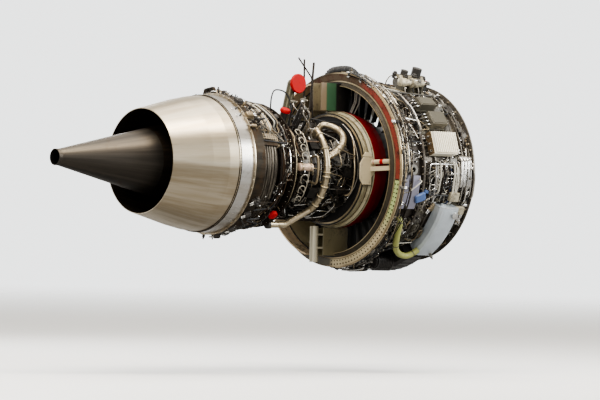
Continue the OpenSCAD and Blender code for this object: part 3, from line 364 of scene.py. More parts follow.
def fill_grime(t, given):
    """Clouds with specks in them, cut at a level that the amount sets."""
    where = t.node("TexCoord").outputs["Object"]
    cloud = t.node("TexNoise", None, Vector=where, Scale=given["Scale"], Detail=6.0,
                   Roughness=0.65, Distortion=0.4)
    speck = t.node("TexNoise", None, Vector=where, Scale=t.math("MULTIPLY", given["Scale"], 9.0),
                   Detail=3.0)
    both = t.math("ADD", t.math("MULTIPLY", cloud.outputs["Fac"], 0.75),
                  t.math("MULTIPLY", speck.outputs["Fac"], 0.25))
    edge = t.math("SUBTRACT", 0.72, t.math("MULTIPLY", given["Amount"], 0.42))
    return {"Mask": t.span(both, edge, t.math("ADD", edge, 0.16))}


build_group("streaks", {"Along": 1.0, "Around": 1.0, "Softness": 0.2}, {"Mask": "Float"},
            fill_streaks)
build_group("grime", {"Scale": 5.0, "Amount": 0.3}, {"Mask": "Float"}, fill_grime)

# %% Worn finish
def fill_worn_finish(t, given):
    """Paint or metal with streaks, rubbed to the bare colour here and soiled there."""
    dirt = t.group("grime", Scale=given["Scale"], Amount=given["Dirt"]).outputs["Mask"]
    rub = t.group("grime", Scale=t.math("MULTIPLY", given["Scale"], 2.7),
                  Amount=given["Wear"]).outputs["Mask"]
    lines = t.group("streaks", Along=given["Along"], Around=given["Around"],
                    Softness=0.22).outputs["Mask"]
    shade = t.math("ADD", t.math("MULTIPLY", lines, given["Streaks"]),
                   t.math("SUBTRACT", 1.0, t.math("MULTIPLY", given["Streaks"], 0.5)))
    base = t.node("Mix", {"data_type": "RGBA", "blend_type": "MULTIPLY"}, Factor=1.0)
    t.feed(base.inputs[6], given["Colour"])
    t.feed(base.inputs[7], t.node("CombineColor", None, Red=shade, Green=shade,
                                  Blue=shade).outputs[0])
    worn = t.mix(rub, base.outputs[2], given["Bare"])
    colour = t.mix(dirt, worn, given["Soil"])
    metal = t.math("MULTIPLY", t.mix_value(rub, given["Metal"], given["Bare metal"]),
                   t.math("SUBTRACT", 1.0, t.math("MULTIPLY", dirt, 0.6)))
    rough = t.math("ADD", given["Gloss"], t.math("ADD", t.math("MULTIPLY", dirt, 0.28),
                                                 t.math("MULTIPLY", lines, 0.08)))
    height = t.math("ADD", t.math("MULTIPLY", dirt, 0.4), t.math("MULTIPLY", rub, -0.5))
    return {"Color": colour, "Metallic": metal, "Roughness": rough, "Height": height}


build_group("worn_finish",
            {"Colour": (0.5, 0.5, 0.5, 1), "Bare": (0.5, 0.5, 0.5, 1), "Soil": (0.03, 0.025, 0.02, 1),
             "Metal": 0.0, "Bare metal": 1.0, "Gloss": 0.4, "Scale": 5.0, "Dirt": 0.3,
             "Wear": 0.2, "Streaks": 0.2, "Along": 3.0, "Around": 3.0},
            {"Color": "Color", "Metallic": "Float", "Roughness": "Float", "Height": "Float"},
            fill_worn_finish)

# %% [markdown]
# ## A finish
# A finish is one material: the worn-finish group with its own numbers, a Principled shader and a
# Bump node for the relief of dirt and chips. Its colours are given as screen values from 0 to 255,
# as a colour picker shows them. A part that is painted in two colours gets a function in place
# of a colour, which mixes the two by a place on the engine.

# %% How a finish is made
def two_tone(first, second, measure, low, high):
    """A colour that turns from one to another as a measure of the axis group goes low to high."""
    def colour(t):
        where = t.group("around_axis", Along=1.0, Around=1.0)
        return t.mix(t.span(where.outputs[measure], low, high), tone(*first), tone(*second))
    return colour


def finish(name, colour, bare=None, soil=(40, 34, 28), metal=0.0, bare_metal=1.0,
           gloss=0.42, scale=6.0, dirt=0.35, wear=0.2, streaks=0.25, along=4.0, around=4.0,
           bump=0.15, shine=0.5):
    """A Principled material fed by the worn-finish group; a colour may be a function of a tree."""
    material = bpy.data.materials.new(name)
    material.use_nodes = True
    t = Tree(material.node_tree)
    shader = material.node_tree.nodes["Principled BSDF"]
    colour = colour(t) if callable(colour) else tone(*colour)
    coat = t.group("worn_finish", Colour=colour, Bare=tone(*bare) if bare else colour,
                   Soil=tone(*soil), Metal=metal, Bare_metal=bare_metal, Gloss=gloss, Scale=scale,
                   Dirt=dirt, Wear=wear, Streaks=streaks, Along=along, Around=around)
    relief = t.node("Bump", None, Strength=bump, Distance=0.002, Height=coat.outputs["Height"])
    t.feed(shader.inputs["Base Color"], coat.outputs["Color"])
    t.feed(shader.inputs["Metallic"], coat.outputs["Metallic"])
    t.feed(shader.inputs["Roughness"], coat.outputs["Roughness"])
    t.feed(shader.inputs["Normal"], relief.outputs["Normal"])
    shader.inputs["Specular IOR Level"].default_value = shine


print("finishes so far:", len(bpy.data.materials))

# %% [markdown]
# ## Castings, pipes, hoses and boxes
# Castings and boxes are grey and oily, pipes are steel that heat has browned, and hoses and looms
# are dull. Each finish is named for what it covers, and the pieces ask for it by that name.

# %% Finishes of the hardware
finish("cast_grey", (104, 101, 95), (156, 152, 144), metal=0.6, dirt=0.5, gloss=0.45, scale=7)
finish("case_grey", (70, 65, 59), (118, 112, 102), metal=0.7, dirt=0.55, gloss=0.42, scale=5,
       soil=(52, 44, 38))
finish("bright_steel", (206, 204, 200), metal=1.0, dirt=0.3, gloss=0.2, streaks=0.3, scale=14)
finish("pipe_steel", (176, 170, 160), (120, 96, 70), metal=1.0, dirt=0.42, wear=0.4, gloss=0.28,
       scale=12, soil=(60, 48, 38))
finish("pipe_dark", (52, 46, 41), (112, 102, 90), metal=0.9, dirt=0.4, wear=0.25, gloss=0.38,
       scale=12)
finish("pipe_tan", (148, 134, 110), (104, 88, 68), metal=0.75, dirt=0.5, wear=0.35, gloss=0.36,
       scale=9, soil=(84, 66, 46))
finish("duct_cream", (176, 163, 137), (104, 86, 64), metal=0.85, dirt=0.5, wear=0.45, gloss=0.3,
       scale=9, soil=(88, 70, 48), streaks=0.4, bump=0.5)
finish("core_dark", (32, 29, 26), (74, 66, 58), metal=0.7, dirt=0.5, gloss=0.5, scale=8)
finish("hose_black", (30, 30, 31), (52, 50, 48), bare_metal=0.0, dirt=0.3, gloss=0.55, scale=14,
       soil=(80, 72, 62))
finish("loom_grey", (74, 71, 66), (112, 108, 100), bare_metal=0.0, dirt=0.35, gloss=0.6, scale=20)
finish("loom_white", (178, 174, 162), (132, 126, 114), bare_metal=0.0, dirt=0.3, gloss=0.5,
       scale=16)
finish("box_grey", (92, 88, 77), (134, 129, 116), metal=0.35, dirt=0.42, gloss=0.4, scale=9)
finish("box_dark", (54, 51, 48), (112, 108, 100), metal=0.3, dirt=0.35, gloss=0.42, scale=9)
finish("cap_red", (158, 16, 14), (176, 52, 44), bare_metal=0.0, dirt=0.25, gloss=0.55, scale=10,
       soil=(80, 12, 10), bump=0.3, shine=0.2)
finish("hose_yellow", (150, 152, 88), (118, 116, 68), bare_metal=0.0, dirt=0.3, gloss=0.45,
       scale=9)
finish("bolt_steel", (186, 178, 164), (90, 78, 64), metal=1.0, dirt=0.35, wear=0.3, gloss=0.3,
       scale=30)
finish("pipe_blue", (62, 78, 120), (140, 146, 156), metal=0.8, dirt=0.35, gloss=0.28, scale=12)
finish("copper_brown", (80, 64, 50), (122, 106, 88), metal=0.85, dirt=0.5, gloss=0.34, scale=12)
finish("tube_light", (164, 157, 142), (110, 100, 84), metal=0.6, dirt=0.4, gloss=0.32, scale=14,
       soil=(84, 72, 58))
finish("blue_paint", (74, 96, 140), (140, 140, 140), dirt=0.3, gloss=0.35, scale=9)
print("finishes:", len(bpy.data.materials))

# %% [markdown]
# ## The nozzle, the plug and the hot skins
# The exhaust pieces are bare titanium and nickel sheet. Heat has tinted them in bands that run
# with the gas: straw, brown and grey, brighter where hands and slings have rubbed them.
# A colour ramp driven by streak noise gives the bands, and the station along the axis shifts it.
# The height of a point shifts it too: that is painted light, which gives the top of each sheet
# its tone and makes the top of the plug lighter.

# %% Heat-tinted sheet
def heat_tinted(name, bands, along=0.7, around=3.2, fine=16.0, gloss=0.3, shift=(0, 1, 0, 0),
                dirt=0.2, dirt_scale=4.0, top_light_shift=0.0, bump=0.08):
    """Bare sheet whose tint follows streaks; shift = station from, to, amount there, amount here; the
    height shift paints light on the top.
    """
    material = bpy.data.materials.new(name)
    material.use_nodes = True
    t = Tree(material.node_tree)
    shader = material.node_tree.nodes["Principled BSDF"]
    where = t.group("around_axis", Along=1.0, Around=1.0)
    broad = t.group("streaks", Along=along, Around=around, Softness=0.3).outputs["Mask"]
    thin = t.group("streaks", Along=along * 1.4, Around=fine, Softness=0.34).outputs["Mask"]
    tint = t.math("ADD", t.math("MULTIPLY", broad, 0.76), t.math("MULTIPLY", thin, 0.24))
    tint = t.math("ADD", tint, t.span(where.outputs["Station"], shift[0], shift[1], shift[2],
                                      shift[3]))
    # Painted light: the tint moves with the height of a point, so the top of the sheet takes the tone
    # of light falling on it.
    tint = t.math("ADD", tint, t.math("MULTIPLY", where.outputs["Rise"], top_light_shift))
    colour = t.ramp(tint, *[(place, tone(*shade)) for place, shade in bands])
    soil = t.group("grime", Scale=dirt_scale, Amount=dirt).outputs["Mask"]
    colour = t.mix(t.math("MULTIPLY", soil, 0.55), colour, tone(84, 66, 48))
    hair = t.group("streaks", Along=90.0, Around=3.0, Softness=0.4).outputs["Mask"]
    t.feed(shader.inputs["Base Color"], colour)
    shader.inputs["Metallic"].default_value = 1.0
    rough = t.math("ADD", gloss, t.math("ADD", t.math("MULTIPLY", thin, 0.1),
                                        t.math("MULTIPLY", soil, 0.18)))
    t.feed(shader.inputs["Roughness"], rough)
    relief = t.node("Bump", None, Strength=bump, Distance=0.003,
                    Height=t.math("ADD", t.math("MULTIPLY", broad, 0.8),
                                  t.math("MULTIPLY", hair, 0.1)))
    t.feed(shader.inputs["Normal"], relief.outputs["Normal"])


print("finishes so far:", len(bpy.data.materials))

# %% Hot skins, blades and shafts
# The height shifts below are painted light on the top of each sheet; on the plug and its front they
# make the top lighter.
heat_tinted("nozzle_skin",
            ((0.0, (118, 106, 88)), (0.22, (148, 136, 116)), (0.38, (176, 163, 140)),
             (0.52, (190, 179, 159)), (0.64, (164, 150, 127)), (0.78, (184, 173, 153)),
             (0.9, (144, 131, 109)), (1.0, (170, 158, 137))),
            along=0.4, around=2.6, fine=7.0, shift=(2.05, 2.35, 0.12, 0.0), gloss=0.27,
            top_light_shift=-0.05, dirt=0.24, dirt_scale=2.6, bump=0.05)
heat_tinted("nozzle_front",
            ((0.0, (122, 113, 98)), (0.35, (170, 163, 152)), (0.65, (190, 187, 182)),
             (1.0, (146, 135, 116))),
            along=1.2, around=3.0, gloss=0.24, dirt=0.3, dirt_scale=5.0)
heat_tinted("plug_skin",
            ((0.0, (50, 47, 44)), (0.3, (63, 59, 54)), (0.55, (77, 72, 66)), (0.8, (93, 86, 76)),
             (1.0, (108, 100, 87))),
            along=0.5, around=2.4, fine=22.0, gloss=0.44, top_light_shift=0.12,
            shift=(2.75, 3.5, -0.08, 0.06), dirt=0.3, dirt_scale=3.0)
heat_tinted("plug_front_skin",
            ((0.0, (30, 27, 25)), (0.5, (56, 49, 43)), (1.0, (88, 74, 58))),
            along=0.9, around=3.6, gloss=0.42, top_light_shift=0.16, dirt=0.45)
heat_tinted("hot_brown",
            ((0.0, (20, 18, 17)), (0.35, (40, 37, 33)), (0.7, (68, 62, 54)), (1.0, (44, 39, 35))),
            along=2.6, around=9.0, gloss=0.44, dirt=0.6, dirt_scale=11.0)
heat_tinted("hot_grey",
            ((0.0, (36, 32, 28)), (0.4, (62, 55, 48)), (0.75, (92, 82, 70)), (1.0, (70, 64, 60))),
            along=3.0, around=8.0, gloss=0.46, dirt=0.6)
heat_tinted("hot_dark",
            ((0.0, (18, 16, 14)), (0.5, (36, 31, 27)), (1.0, (60, 52, 44))),
            along=3.0, around=8.0, gloss=0.5, dirt=0.5)
heat_tinted("tube_tan",
            ((0.0, (50, 46, 42)), (0.4, (82, 77, 70)), (0.7, (124, 117, 106)), (1.0, (90, 86, 80))),
            along=60.0, around=4.0, gloss=0.3, dirt=0.35)
# Painted shade: the blades, discs and stators are near black to stand for the dark inside of the
# engine, which also keeps glints off them; the fan blades are darker than bare titanium, partly
# painted shade of the fan duct.
finish("blade_steel_shaded", (34, 33, 33), metal=0.5, dirt=0.35, gloss=0.62, along=4, around=8)
finish("fan_titanium_shaded", (92, 91, 90), (122, 120, 118), metal=0.9, dirt=0.2, gloss=0.34, scale=5,
       along=3, around=12)
finish("inside_dark", (26, 24, 23), (46, 42, 38), metal=0.3, dirt=0.4, gloss=0.6, scale=5)
print("finishes:", len(bpy.data.materials))

# %% [markdown]
# ## Painted rings and duct walls
# The inner duct wall is painted deep red, the seal ring behind it cream, and the outer ring has a
# terracotta seal above the strut and a pale green one below. All of them are dusty and chipped, so
# they use the worn finish with bare metal under the paint. Two parts change colour more than once,
# so each has a function that mixes its colours by the station and by the side of the engine. The
# fairing's black front is painted shade of the duct's dark inside.

# %% Colours that change along or round the engine
def band_colour(t):
    """Pale green on the starboard side, tan at the bottom, dark on the port side."""
    where = t.group("around_axis", Along=1.0, Around=1.0).outputs
    lower = t.mix(t.span(where["Rise"], -0.42, -0.66), tone(160, 172, 116), tone(172, 158, 126))
    return t.mix(t.span(where["Side"], -0.02, 0.05), lower, tone(66, 60, 46))


def fairing_paint_and_shade(t):
    """Painted shade at the front, black where the fairing lies inside the duct; then green paint,
    then tan towards the aft edge, and tan on the port side.
    """
    where = t.group("around_axis", Along=1.0, Around=1.0).outputs
    # Painted shade: the black before station 0.80 stands for the duct's dark inside.
    green = t.mix(t.span(where["Station"], 0.80, 0.815), tone(24, 22, 20), tone(50, 80, 56))
    along = t.mix(t.span(where["Station"], 0.905, 0.915), green, tone(112, 98, 78))
    return t.mix(t.span(where["Side"], 0.02, 0.035), along, tone(124, 112, 88))


print("three-colour parts:", band_colour.__name__, fairing_paint_and_shade.__name__)

# %% Paints
finish("red_wall", (112, 4, 6), (72, 8, 8), bare_metal=0.0, dirt=0.36, gloss=0.5, scale=4,
       soil=(44, 8, 8), wear=0.15, streaks=0.3, shine=0.3)
finish("cream_ring", (156, 147, 119), (120, 110, 84), bare_metal=0.3, dirt=0.44, gloss=0.42,
       scale=5, soil=(104, 90, 62))
finish("terracotta", two_tone((124, 56, 44), (72, 58, 42), "Side", -0.5, -0.36), (92, 54, 42),
       bare_metal=0.0, dirt=0.55, gloss=0.55, scale=11, soil=(62, 32, 24), shine=0.25)
finish("pale_green", band_colour, (132, 126, 98), bare_metal=0.2, dirt=0.34, gloss=0.46, scale=8,
       soil=(92, 88, 58))
finish("ring_brown", two_tone((96, 84, 67), (58, 52, 42), "Side", -0.1, 0.1), (140, 126, 102),
       metal=0.5, bare_metal=0.9, dirt=0.45, gloss=0.4, scale=7, around=9)
finish("olive_panel", fairing_paint_and_shade, (104, 98, 74), bare_metal=0.4, dirt=0.4, gloss=0.44, scale=6,
       soil=(48, 44, 30), streaks=0.35)
finish("beam_tan", two_tone((116, 108, 84), (164, 157, 138), "Station", 0.9, 0.91),
       (160, 152, 128), metal=0.5, dirt=0.42, gloss=0.4, scale=6, soil=(70, 62, 44), streaks=0.35)
finish("strut_cream", (178, 165, 136), (142, 122, 94), bare_metal=0.2, dirt=0.3, gloss=0.38,
       scale=9, soil=(128, 100, 70))
# Near black: on the rub strip, guide vanes and splitter shroud this is partly their own dark finish
# and partly painted shade of the fan duct's dark inside; on the ring trim it is painted shade in the
# grooves.
finish("duct_black_shade", (20, 18, 17), (46, 40, 36), bare_metal=0.2, dirt=0.35, gloss=0.5, scale=5,
       soil=(52, 44, 36))
# Painted light: the lip's inner face is much lighter than its olive-brown, to lift the shade inside
# the duct.
finish("lip_painted_light", (206, 184, 152), (206, 192, 164), metal=0.4, dirt=0.5, gloss=0.42, scale=5,
       soil=(52, 44, 34), streaks=0.5, along=9, around=3)
finish("tank_grey", (196, 203, 208), (214, 217, 218), metal=0.6, dirt=0.2, gloss=0.36, scale=4,
       soil=(112, 110, 106))
finish("lavender", (136, 134, 146), (170, 168, 172), metal=0.5, dirt=0.35, gloss=0.36, scale=5,
       soil=(80, 74, 72))
finish("fin_cream", (232, 226, 208), (190, 180, 156), bare_metal=0.4, dirt=0.3, gloss=0.4, scale=9,
       soil=(96, 84, 64))
finish("riser_olive", (86, 80, 62), (128, 116, 90), metal=0.6, dirt=0.45, gloss=0.4, scale=8,
       soil=(40, 34, 26))
finish("pink_sleeve", (178, 154, 134), (140, 114, 92), metal=0.2, dirt=0.35, gloss=0.4, scale=10,
       soil=(104, 78, 60))
finish("collar_cream", (176, 162, 132), (140, 114, 82), metal=0.6, dirt=0.4, gloss=0.36, scale=12,
       soil=(92, 74, 52))
finish("trim_tan", two_tone((176, 160, 130), (84, 74, 58), "Side", -0.1, 0.1), (190, 176, 150),
       metal=0.7, dirt=0.4, gloss=0.36, scale=9, soil=(58, 48, 36))
finish("box_brown", (110, 92, 68), (150, 134, 108), metal=0.5, dirt=0.45, gloss=0.42, scale=8,
       soil=(46, 36, 26))
finish("valve_beige", (172, 164, 142), (112, 102, 84), metal=0.3, dirt=0.6, gloss=0.42, scale=10,
       soil=(70, 60, 46))
finish("nose_olive", (66, 60, 48), (116, 106, 86), metal=0.4, dirt=0.55, gloss=0.46, scale=14,
       soil=(46, 40, 30), streaks=0.4)
finish("duct_lining", (148, 138, 108), (176, 160, 128), metal=0.3, dirt=0.45, gloss=0.44, scale=5,
       soil=(66, 58, 42), streaks=0.45, along=9, around=3)
finish("case_mottled", (100, 94, 85), (160, 153, 138), metal=0.6, dirt=0.55, wear=0.45, gloss=0.4,
       scale=11, soil=(44, 36, 30), streaks=0.4)
print("finishes:", len(bpy.data.materials))

# %% [markdown]
# ## Dressing the solids
# Every solid of the CAD model gets one finish from a table. Four of them have faces that look
# different on the real engine, such as the pale lining inside the frame's outer ring, so those
# faces are picked by where they look and get a second finish.

# %% Finishes of the solids
CAD_FINISH = {
    "case_mottled": "fan_case",
    "duct_black_shade": "rub_strip guide_vanes splitter_shroud",
    "case_grey": "frame_outer_ring spinner",
    "ring_brown": "outer_groove_ring",
    "terracotta": "seal_band_upper",
    "pale_green": "seal_band_lower",
    "lip_painted_light": "duct_lip",
    "red_wall": "inner_duct_wall",
    "cream_ring": "inner_groove_ring",
    "inside_dark": "firewall",
    "core_dark": "frame_hub hpc_case",
    "cast_grey": "booster_case front_mount handling_bosses starter",
    "blade_steel_shaded": "booster_stators hpc_stators fan_disc booster_rotor hpc_rotor",
    "olive_panel": "upper_bifurcation",
    "beam_tan": "lower_bifurcation",
    "strut_cream": "strut_starboard strut_port",
    "hot_dark": "combustor_case turbine_case",
    "hot_brown": "combustor_liner rear_frame",
    "hot_grey": "turbine_nozzle lpt_nozzles cooling_manifold lpt_rotor hpt_rotor",
    "pipe_dark": "fuel_nozzles fuel_manifold pylon_pipes",
    "tube_tan": "cooling_tubes",
    "nozzle_skin": "exhaust_nozzle",
    "plug_front_skin": "plug_front",
    "plug_skin": "plug_tail",
    "duct_cream": "bleed_duct bleed_elbow bleed_branch",
    "riser_olive": "bleed_riser",
    "cap_red": "riser_blank",
    "box_dark": "gearbox generator",
    "tank_grey": "oil_tank",
    "box_grey": "control_boxes",
    "fin_cream": "finned_box",
    "valve_beige": "top_valve",
    "bright_steel": "outer_races fan_shaft fan_bearings core_bearings",
    "fan_titanium_shaded": "fan_blades",
}


def dress_node(node, coat):
    """Puts one finish on every slot of a solid."""
    if not node.material_slots:
        node.data.materials.append(coat)
    for place in node.material_slots:
        place.material = coat


for coat, names in CAD_FINISH.items():
    for name in names.split():
        dress_node(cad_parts[name], bpy.data.materials[coat])
print("dressed:", sum(len(names.split()) for names in CAD_FINISH.values()), "of",
      len(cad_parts), "nodes")

# %% Second finishes
MOTOR_RADIUS = 0.832


def second_finish(name, coat, wanted):
    """Gives the faces that a test picks, by their place and facing, a finish of their own."""
    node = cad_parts[name]
    node.data.materials.append(bpy.data.materials[coat])
    turn, number = node.matrix_world.to_3x3(), len(node.data.materials) - 1
    count = 0
    for face in node.data.polygons:
        if wanted(node.matrix_world @ face.center, turn @ face.normal):
            face.material_index = number
            count += 1
    print(name, "has", count, "faces in its second finish")


def outward(place, facing):
    """How far a face looks away from the engine axis, from -1 to 1."""
    return (place.y * facing.y + place.z * facing.z) / math.hypot(place.y, place.z)


second_finish("frame_outer_ring", "duct_lining",
              lambda place, facing: outward(place, facing) < -0.3)
second_finish("outer_groove_ring", "case_mottled", lambda place, facing: outward(place, facing) > 0.3)
second_finish("duct_lip", "case_mottled", lambda place, facing: outward(place, facing) > 0.3)
second_finish("top_valve", "box_dark",
              lambda place, facing: math.hypot(place.y, place.z) > MOTOR_RADIUS)

# %% [markdown]
# ## Building pieces in mesh code
# An engine carries hundreds of pipes, clamps, nuts and boxes. Each is a simple shape placed at a
# clock angle, a station and a radius. A "stock" gathers all pieces of one finish on one body into
# one mesh, which keeps the file light and lets a single material cover them.
# Stations count from the fan case's front rib, which lies behind the origin by the length of the
# inlet ring, so that length is taken off once, where the points are stored.

# %% Places on the engine
def seat(clock, station, radius):
    """Origin and axes (forward, round, outward) at a clock angle in degrees, in millimetres."""
    angle = math.radians(clock)
    out = np.array((0.0, -math.sin(angle), math.cos(angle)))
    ahead = np.array((1.0, 0.0, 0.0))
    left = np.cross(out, ahead)
    return np.array((-station, 0.0, 0.0)) + out * radius, np.array((ahead, left, out))


def turned_axes(place, spin):
    """The same place turned about its outward axis."""
    origin, (ahead, left, out) = place
    c, s = math.cos(math.radians(spin)), math.sin(math.radians(spin))
    return origin, np.array((ahead * c + left * s, left * c - ahead * s, out))


def shifted(place, x=0.0, y=0.0, z=0.0):
    """The same place moved along its own axes."""
    origin, axes = place
    return origin + np.array((x, y, z)) @ axes, axes


def lying(clock, station, radius):
    """A place whose outward axis runs forward along the engine."""
    origin, (ahead, left, out) = seat(clock, station, radius)
    return origin, np.array((out, -left, ahead))


def across(clock, station, radius):
    """A place whose outward axis runs round the engine."""
    origin, (ahead, left, out) = seat(clock, station, radius)
    return origin, np.array((ahead, out, -left))


print("top of the front rib:", seat(0, 0, 664)[0])

# %% Stocks of pieces
SHARP_EDGE = 38


class Stock:
    """Gathers pieces of one finish into one mesh that rides on a body."""
    made = []

    def __init__(self, name, coat, slot, body="static", stands_for=None):
        self.name, self.coat, self.slot, self.body = name, coat, slot, body
        self.stands_for = stands_for
        self.points, self.faces, self.count = [], [], 0
        Stock.made.append(self)

    def add(self, shape, place=None):
        """Adds points and faces in millimetres, as they are or at a place."""
        points, faces = shape
        points = np.asarray(points, float)
        if place is not None:
            points = place[0] + points @ place[1]
        self.points.append((points - (LEAD, 0, 0)) * METRES)
        self.faces.extend([tuple(i + self.count for i in face) for face in faces])
        self.count += len(points)

    def make(self):
        """Turns all that was added into one object on its body."""
        mesh = bpy.data.meshes.new(self.name)
        mesh.from_pydata(np.concatenate(self.points).tolist(), [], self.faces)
        mesh.materials.append(bpy.data.materials[self.coat])
        mesh.polygons.foreach_set("use_smooth", [True] * len(mesh.polygons))
        mesh.set_sharp_from_angle(angle=math.radians(SHARP_EDGE))
        piece = bpy.data.objects.new(self.name, mesh)
        bpy.context.scene.collection.objects.link(piece)
        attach(piece, self.body)
        if self.stands_for:
            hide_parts(self.stands_for)


def tell(*stocks):
    """Prints how many faces each stock holds so far."""
    print({stock.name: len(stock.faces) for stock in stocks})


# %% [markdown]
# ## Turned parts, blocks and tubes
# Three shapes cover most of the hardware. A turned shape spins a profile, for nuts, collars and
# valves. A block has its edges chamfered, because no real casting has a knife edge, and light
# catches the chamfer. A tube is swept along a path with a frame that doesn't twist.

# %% Turned shapes
def turned_shape(profile, sides=14):
    """Spins (radius, height) pairs about local z."""
    points, faces = [], []
    for radius, height in profile:
        for k in range(sides):
            a = 2 * math.pi * k / sides
            points.append((radius * math.cos(a), radius * math.sin(a), height))
    for row in range(len(profile) - 1):
        for k in range(sides):
            a, b = row * sides + k, row * sides + (k + 1) % sides
            faces.append((a, b, b + sides, a + sides))
    faces.append(tuple(range(sides - 1, -1, -1)))
    top = (len(profile) - 1) * sides
    faces.append(tuple(range(top, top + sides)))
    return points, faces


def hex_nut(size, height):
    """A nut with chamfered corners; size is half its width across corners."""
    return turned_shape([(size * 0.86, 0), (size, height * 0.12), (size, height * 0.88),
                         (size * 0.86, height)], sides=6)


print("faces of a nut:", len(hex_nut(6, 6)[1]))

# %% Blocks and plates
def chamfered(outline, height, edge):
    """Extrudes a flat outline to a height, with a chamfer round its top."""
    centre = np.mean(np.array(outline, float), axis=0)
    rings = []
    for inset, level in ((0, 0), (0, height - edge), (edge, height)):
        ring = []
        for point in np.array(outline, float):
            away = point - centre
            ring.append(tuple(point - away / np.linalg.norm(away) * inset) + (level,))
        rings.append(ring)
    points = [p for ring in rings for p in ring]
    n = len(outline)
    faces = [tuple(range(n - 1, -1, -1)), tuple(range(2 * n, 3 * n))]
    for row in range(2):
        for k in range(n):
            a, b = row * n + k, row * n + (k + 1) % n
            faces.append((a, b, b + n, a + n))
    return points, faces


def block(length, width, height, edge=3.0):
    """A box with every upright and upper edge chamfered, standing on local z = 0."""
    a, b, e = length / 2, width / 2, min(edge, length / 3, width / 3, height / 2)
    outline = [(a - e, -b), (a, -b + e), (a, b - e), (a - e, b), (-a + e, b), (-a, b - e),
               (-a, -b + e), (-a + e, -b)]
    return chamfered(outline, height, e)


print("faces of a block:", len(block(60, 40, 30)[1]))

# %% Tubes
def tube(path, radius, sides=8, ends=True):
    """Sweeps a circle along a path; the radius may be one number or one for each point."""
    path = np.asarray(path, float)
    steps = np.diff(path, axis=0)
    tangents = np.vstack((steps[:1], steps[1:] + steps[:-1], steps[-1:]))
    tangents /= np.maximum(np.linalg.norm(tangents, axis=1), 1e-9)[:, None]
    guide = np.array((0.0, 0.0, 1.0)) if abs(tangents[0][2]) < 0.9 else np.array((1.0, 0, 0))
    side = np.cross(tangents[0], guide)
    side /= np.linalg.norm(side)
    radii = np.broadcast_to(radius, len(path))
    angles = np.arange(sides) * 2 * math.pi / sides
    points = []
    for here, ahead, size in zip(path, tangents, radii):
        side = side - ahead * side.dot(ahead)
        side /= np.linalg.norm(side)
        up = np.cross(ahead, side)
        points.append(here + size * (np.cos(angles)[:, None] * side + np.sin(angles)[:, None] * up))
    faces = []
    for row in range(len(path) - 1):
        for k in range(sides):
            a, b = row * sides + k, row * sides + (k + 1) % sides
            faces.append((a, b, b + sides, a + sides))
    if ends:
        last = (len(path) - 1) * sides
        faces.append(tuple(range(sides - 1, -1, -1)))
        faces.append(tuple(range(last, last + sides)))
    return np.concatenate(points), faces


print("faces of a straight tube:", len(tube([(0, 0, 0), (100, 0, 0)], 5)[1]))

# %% [markdown]
# ## Routing a pipe
# Pipes follow the case: they run round it or along it, turn with a proper bend radius, and dive
# to a fitting at each end. A route is a list of stops, each a clock angle, a station and a radius.
# The corners are rounded on the unrolled case and the result is rolled back.

# %% Routing
def routed(stops, bend=26.0, step=26.0):
    """Turns stops (clock, station, radius) into a smooth path in millimetres."""
    mean = sum(stop[2] for stop in stops) / len(stops)
    flat = [np.array((math.radians(c) * mean, s, r)) for c, s, r in stops]
    rounded = [flat[0]]
    for before, corner, after in zip(flat, flat[1:], flat[2:]):
        arm_in, arm_out = before - corner, after - corner
        long_in, long_out = np.linalg.norm(arm_in), np.linalg.norm(arm_out)
        if min(long_in, long_out) < 1e-6:
            continue
        reach = min(bend, long_in * 0.45, long_out * 0.45)
        start, stop = corner + arm_in / long_in * reach, corner + arm_out / long_out * reach
        for f in (0, 0.33, 0.67, 1):
            rounded.append(start * (1 - f) ** 2 + corner * 2 * f * (1 - f) + stop * f * f)
    rounded.append(flat[-1])
    fine = [rounded[0]]
    for before, after in zip(rounded, rounded[1:]):
        pieces = max(1, int(abs(after[0] - before[0]) / step))
        fine += [before + (after - before) * k / pieces for k in range(1, pieces + 1)]
    path = []
    for arc, station, radius in fine:
        angle = arc / mean
        path.append((-station, -radius * math.sin(angle), radius * math.cos(angle)))
    return np.array(path)


def along_path(path, index):
    """A place whose outward axis follows the path at one of its points."""
    ahead = path[min(index + 1, len(path) - 1)] - path[max(index - 1, 0)]
    ahead = ahead / np.linalg.norm(ahead)
    guide = np.array((0.0, 0, 1)) if abs(ahead[2]) < 0.9 else np.array((1.0, 0, 0))
    side = np.cross(guide, ahead)
    side /= np.linalg.norm(side)
    return path[index], np.array((side, np.cross(ahead, side), ahead))


def lay_pipe(stock, stops, radius, nuts=None, bend=26.0, sides=8):
    """One pipe along its stops, with a nut at each end."""
    path = routed(stops, bend)
    stock.add(tube(path, radius, sides))
    if nuts:
        for index in (0, len(path) - 1):
            nuts.add(hex_nut(radius * 1.9, radius * 2.6), along_path(path, index))


print("points of a rounded corner:", len(routed([(0, 0, 700), (0, 0, 760), (9, 0, 760)])))

# %% [markdown]
# ## What the case carries
# The next pieces sit on the case at its true radius, so they look right from every side. The
# outside of each case is a line of stations and radii, as in the CAD source. Places that are
# already taken, by a box or by a duct, are kept free of pipes.

# %% Outside radius of the cases
FAN_LINE = ((-110, 664), (0, 664), (420, 664), (421, 656), (640, 685), (760, 702))
CORE_LINE = ((855, 262), (1340, 236), (1350, 258), (1402, 345), (1580, 345), (1600, 440),
             (1640, 440), (1950, 471), (1960, 500))


def surface(line, station):
    """The radius of a case line at a station."""
    for (s0, r0), (s1, r1) in zip(line, line[1:]):
        if station <= s1:
            return r0 + (r1 - r0) * (station - s0) / (s1 - s0)
    return line[-1][1]


def fan_skin(station):
    """Outside radius of the fan case."""
    return surface(FAN_LINE, station)


def core_skin(station):
    """Outside radius of the compressor, combustor and turbine cases."""
    return surface(CORE_LINE, station)


def level_skin(radius):
    """A skin with the same radius at every station."""
    return lambda station: radius


print("fan case at 500:", round(fan_skin(500)), "core at 1500:", round(core_skin(1500)))

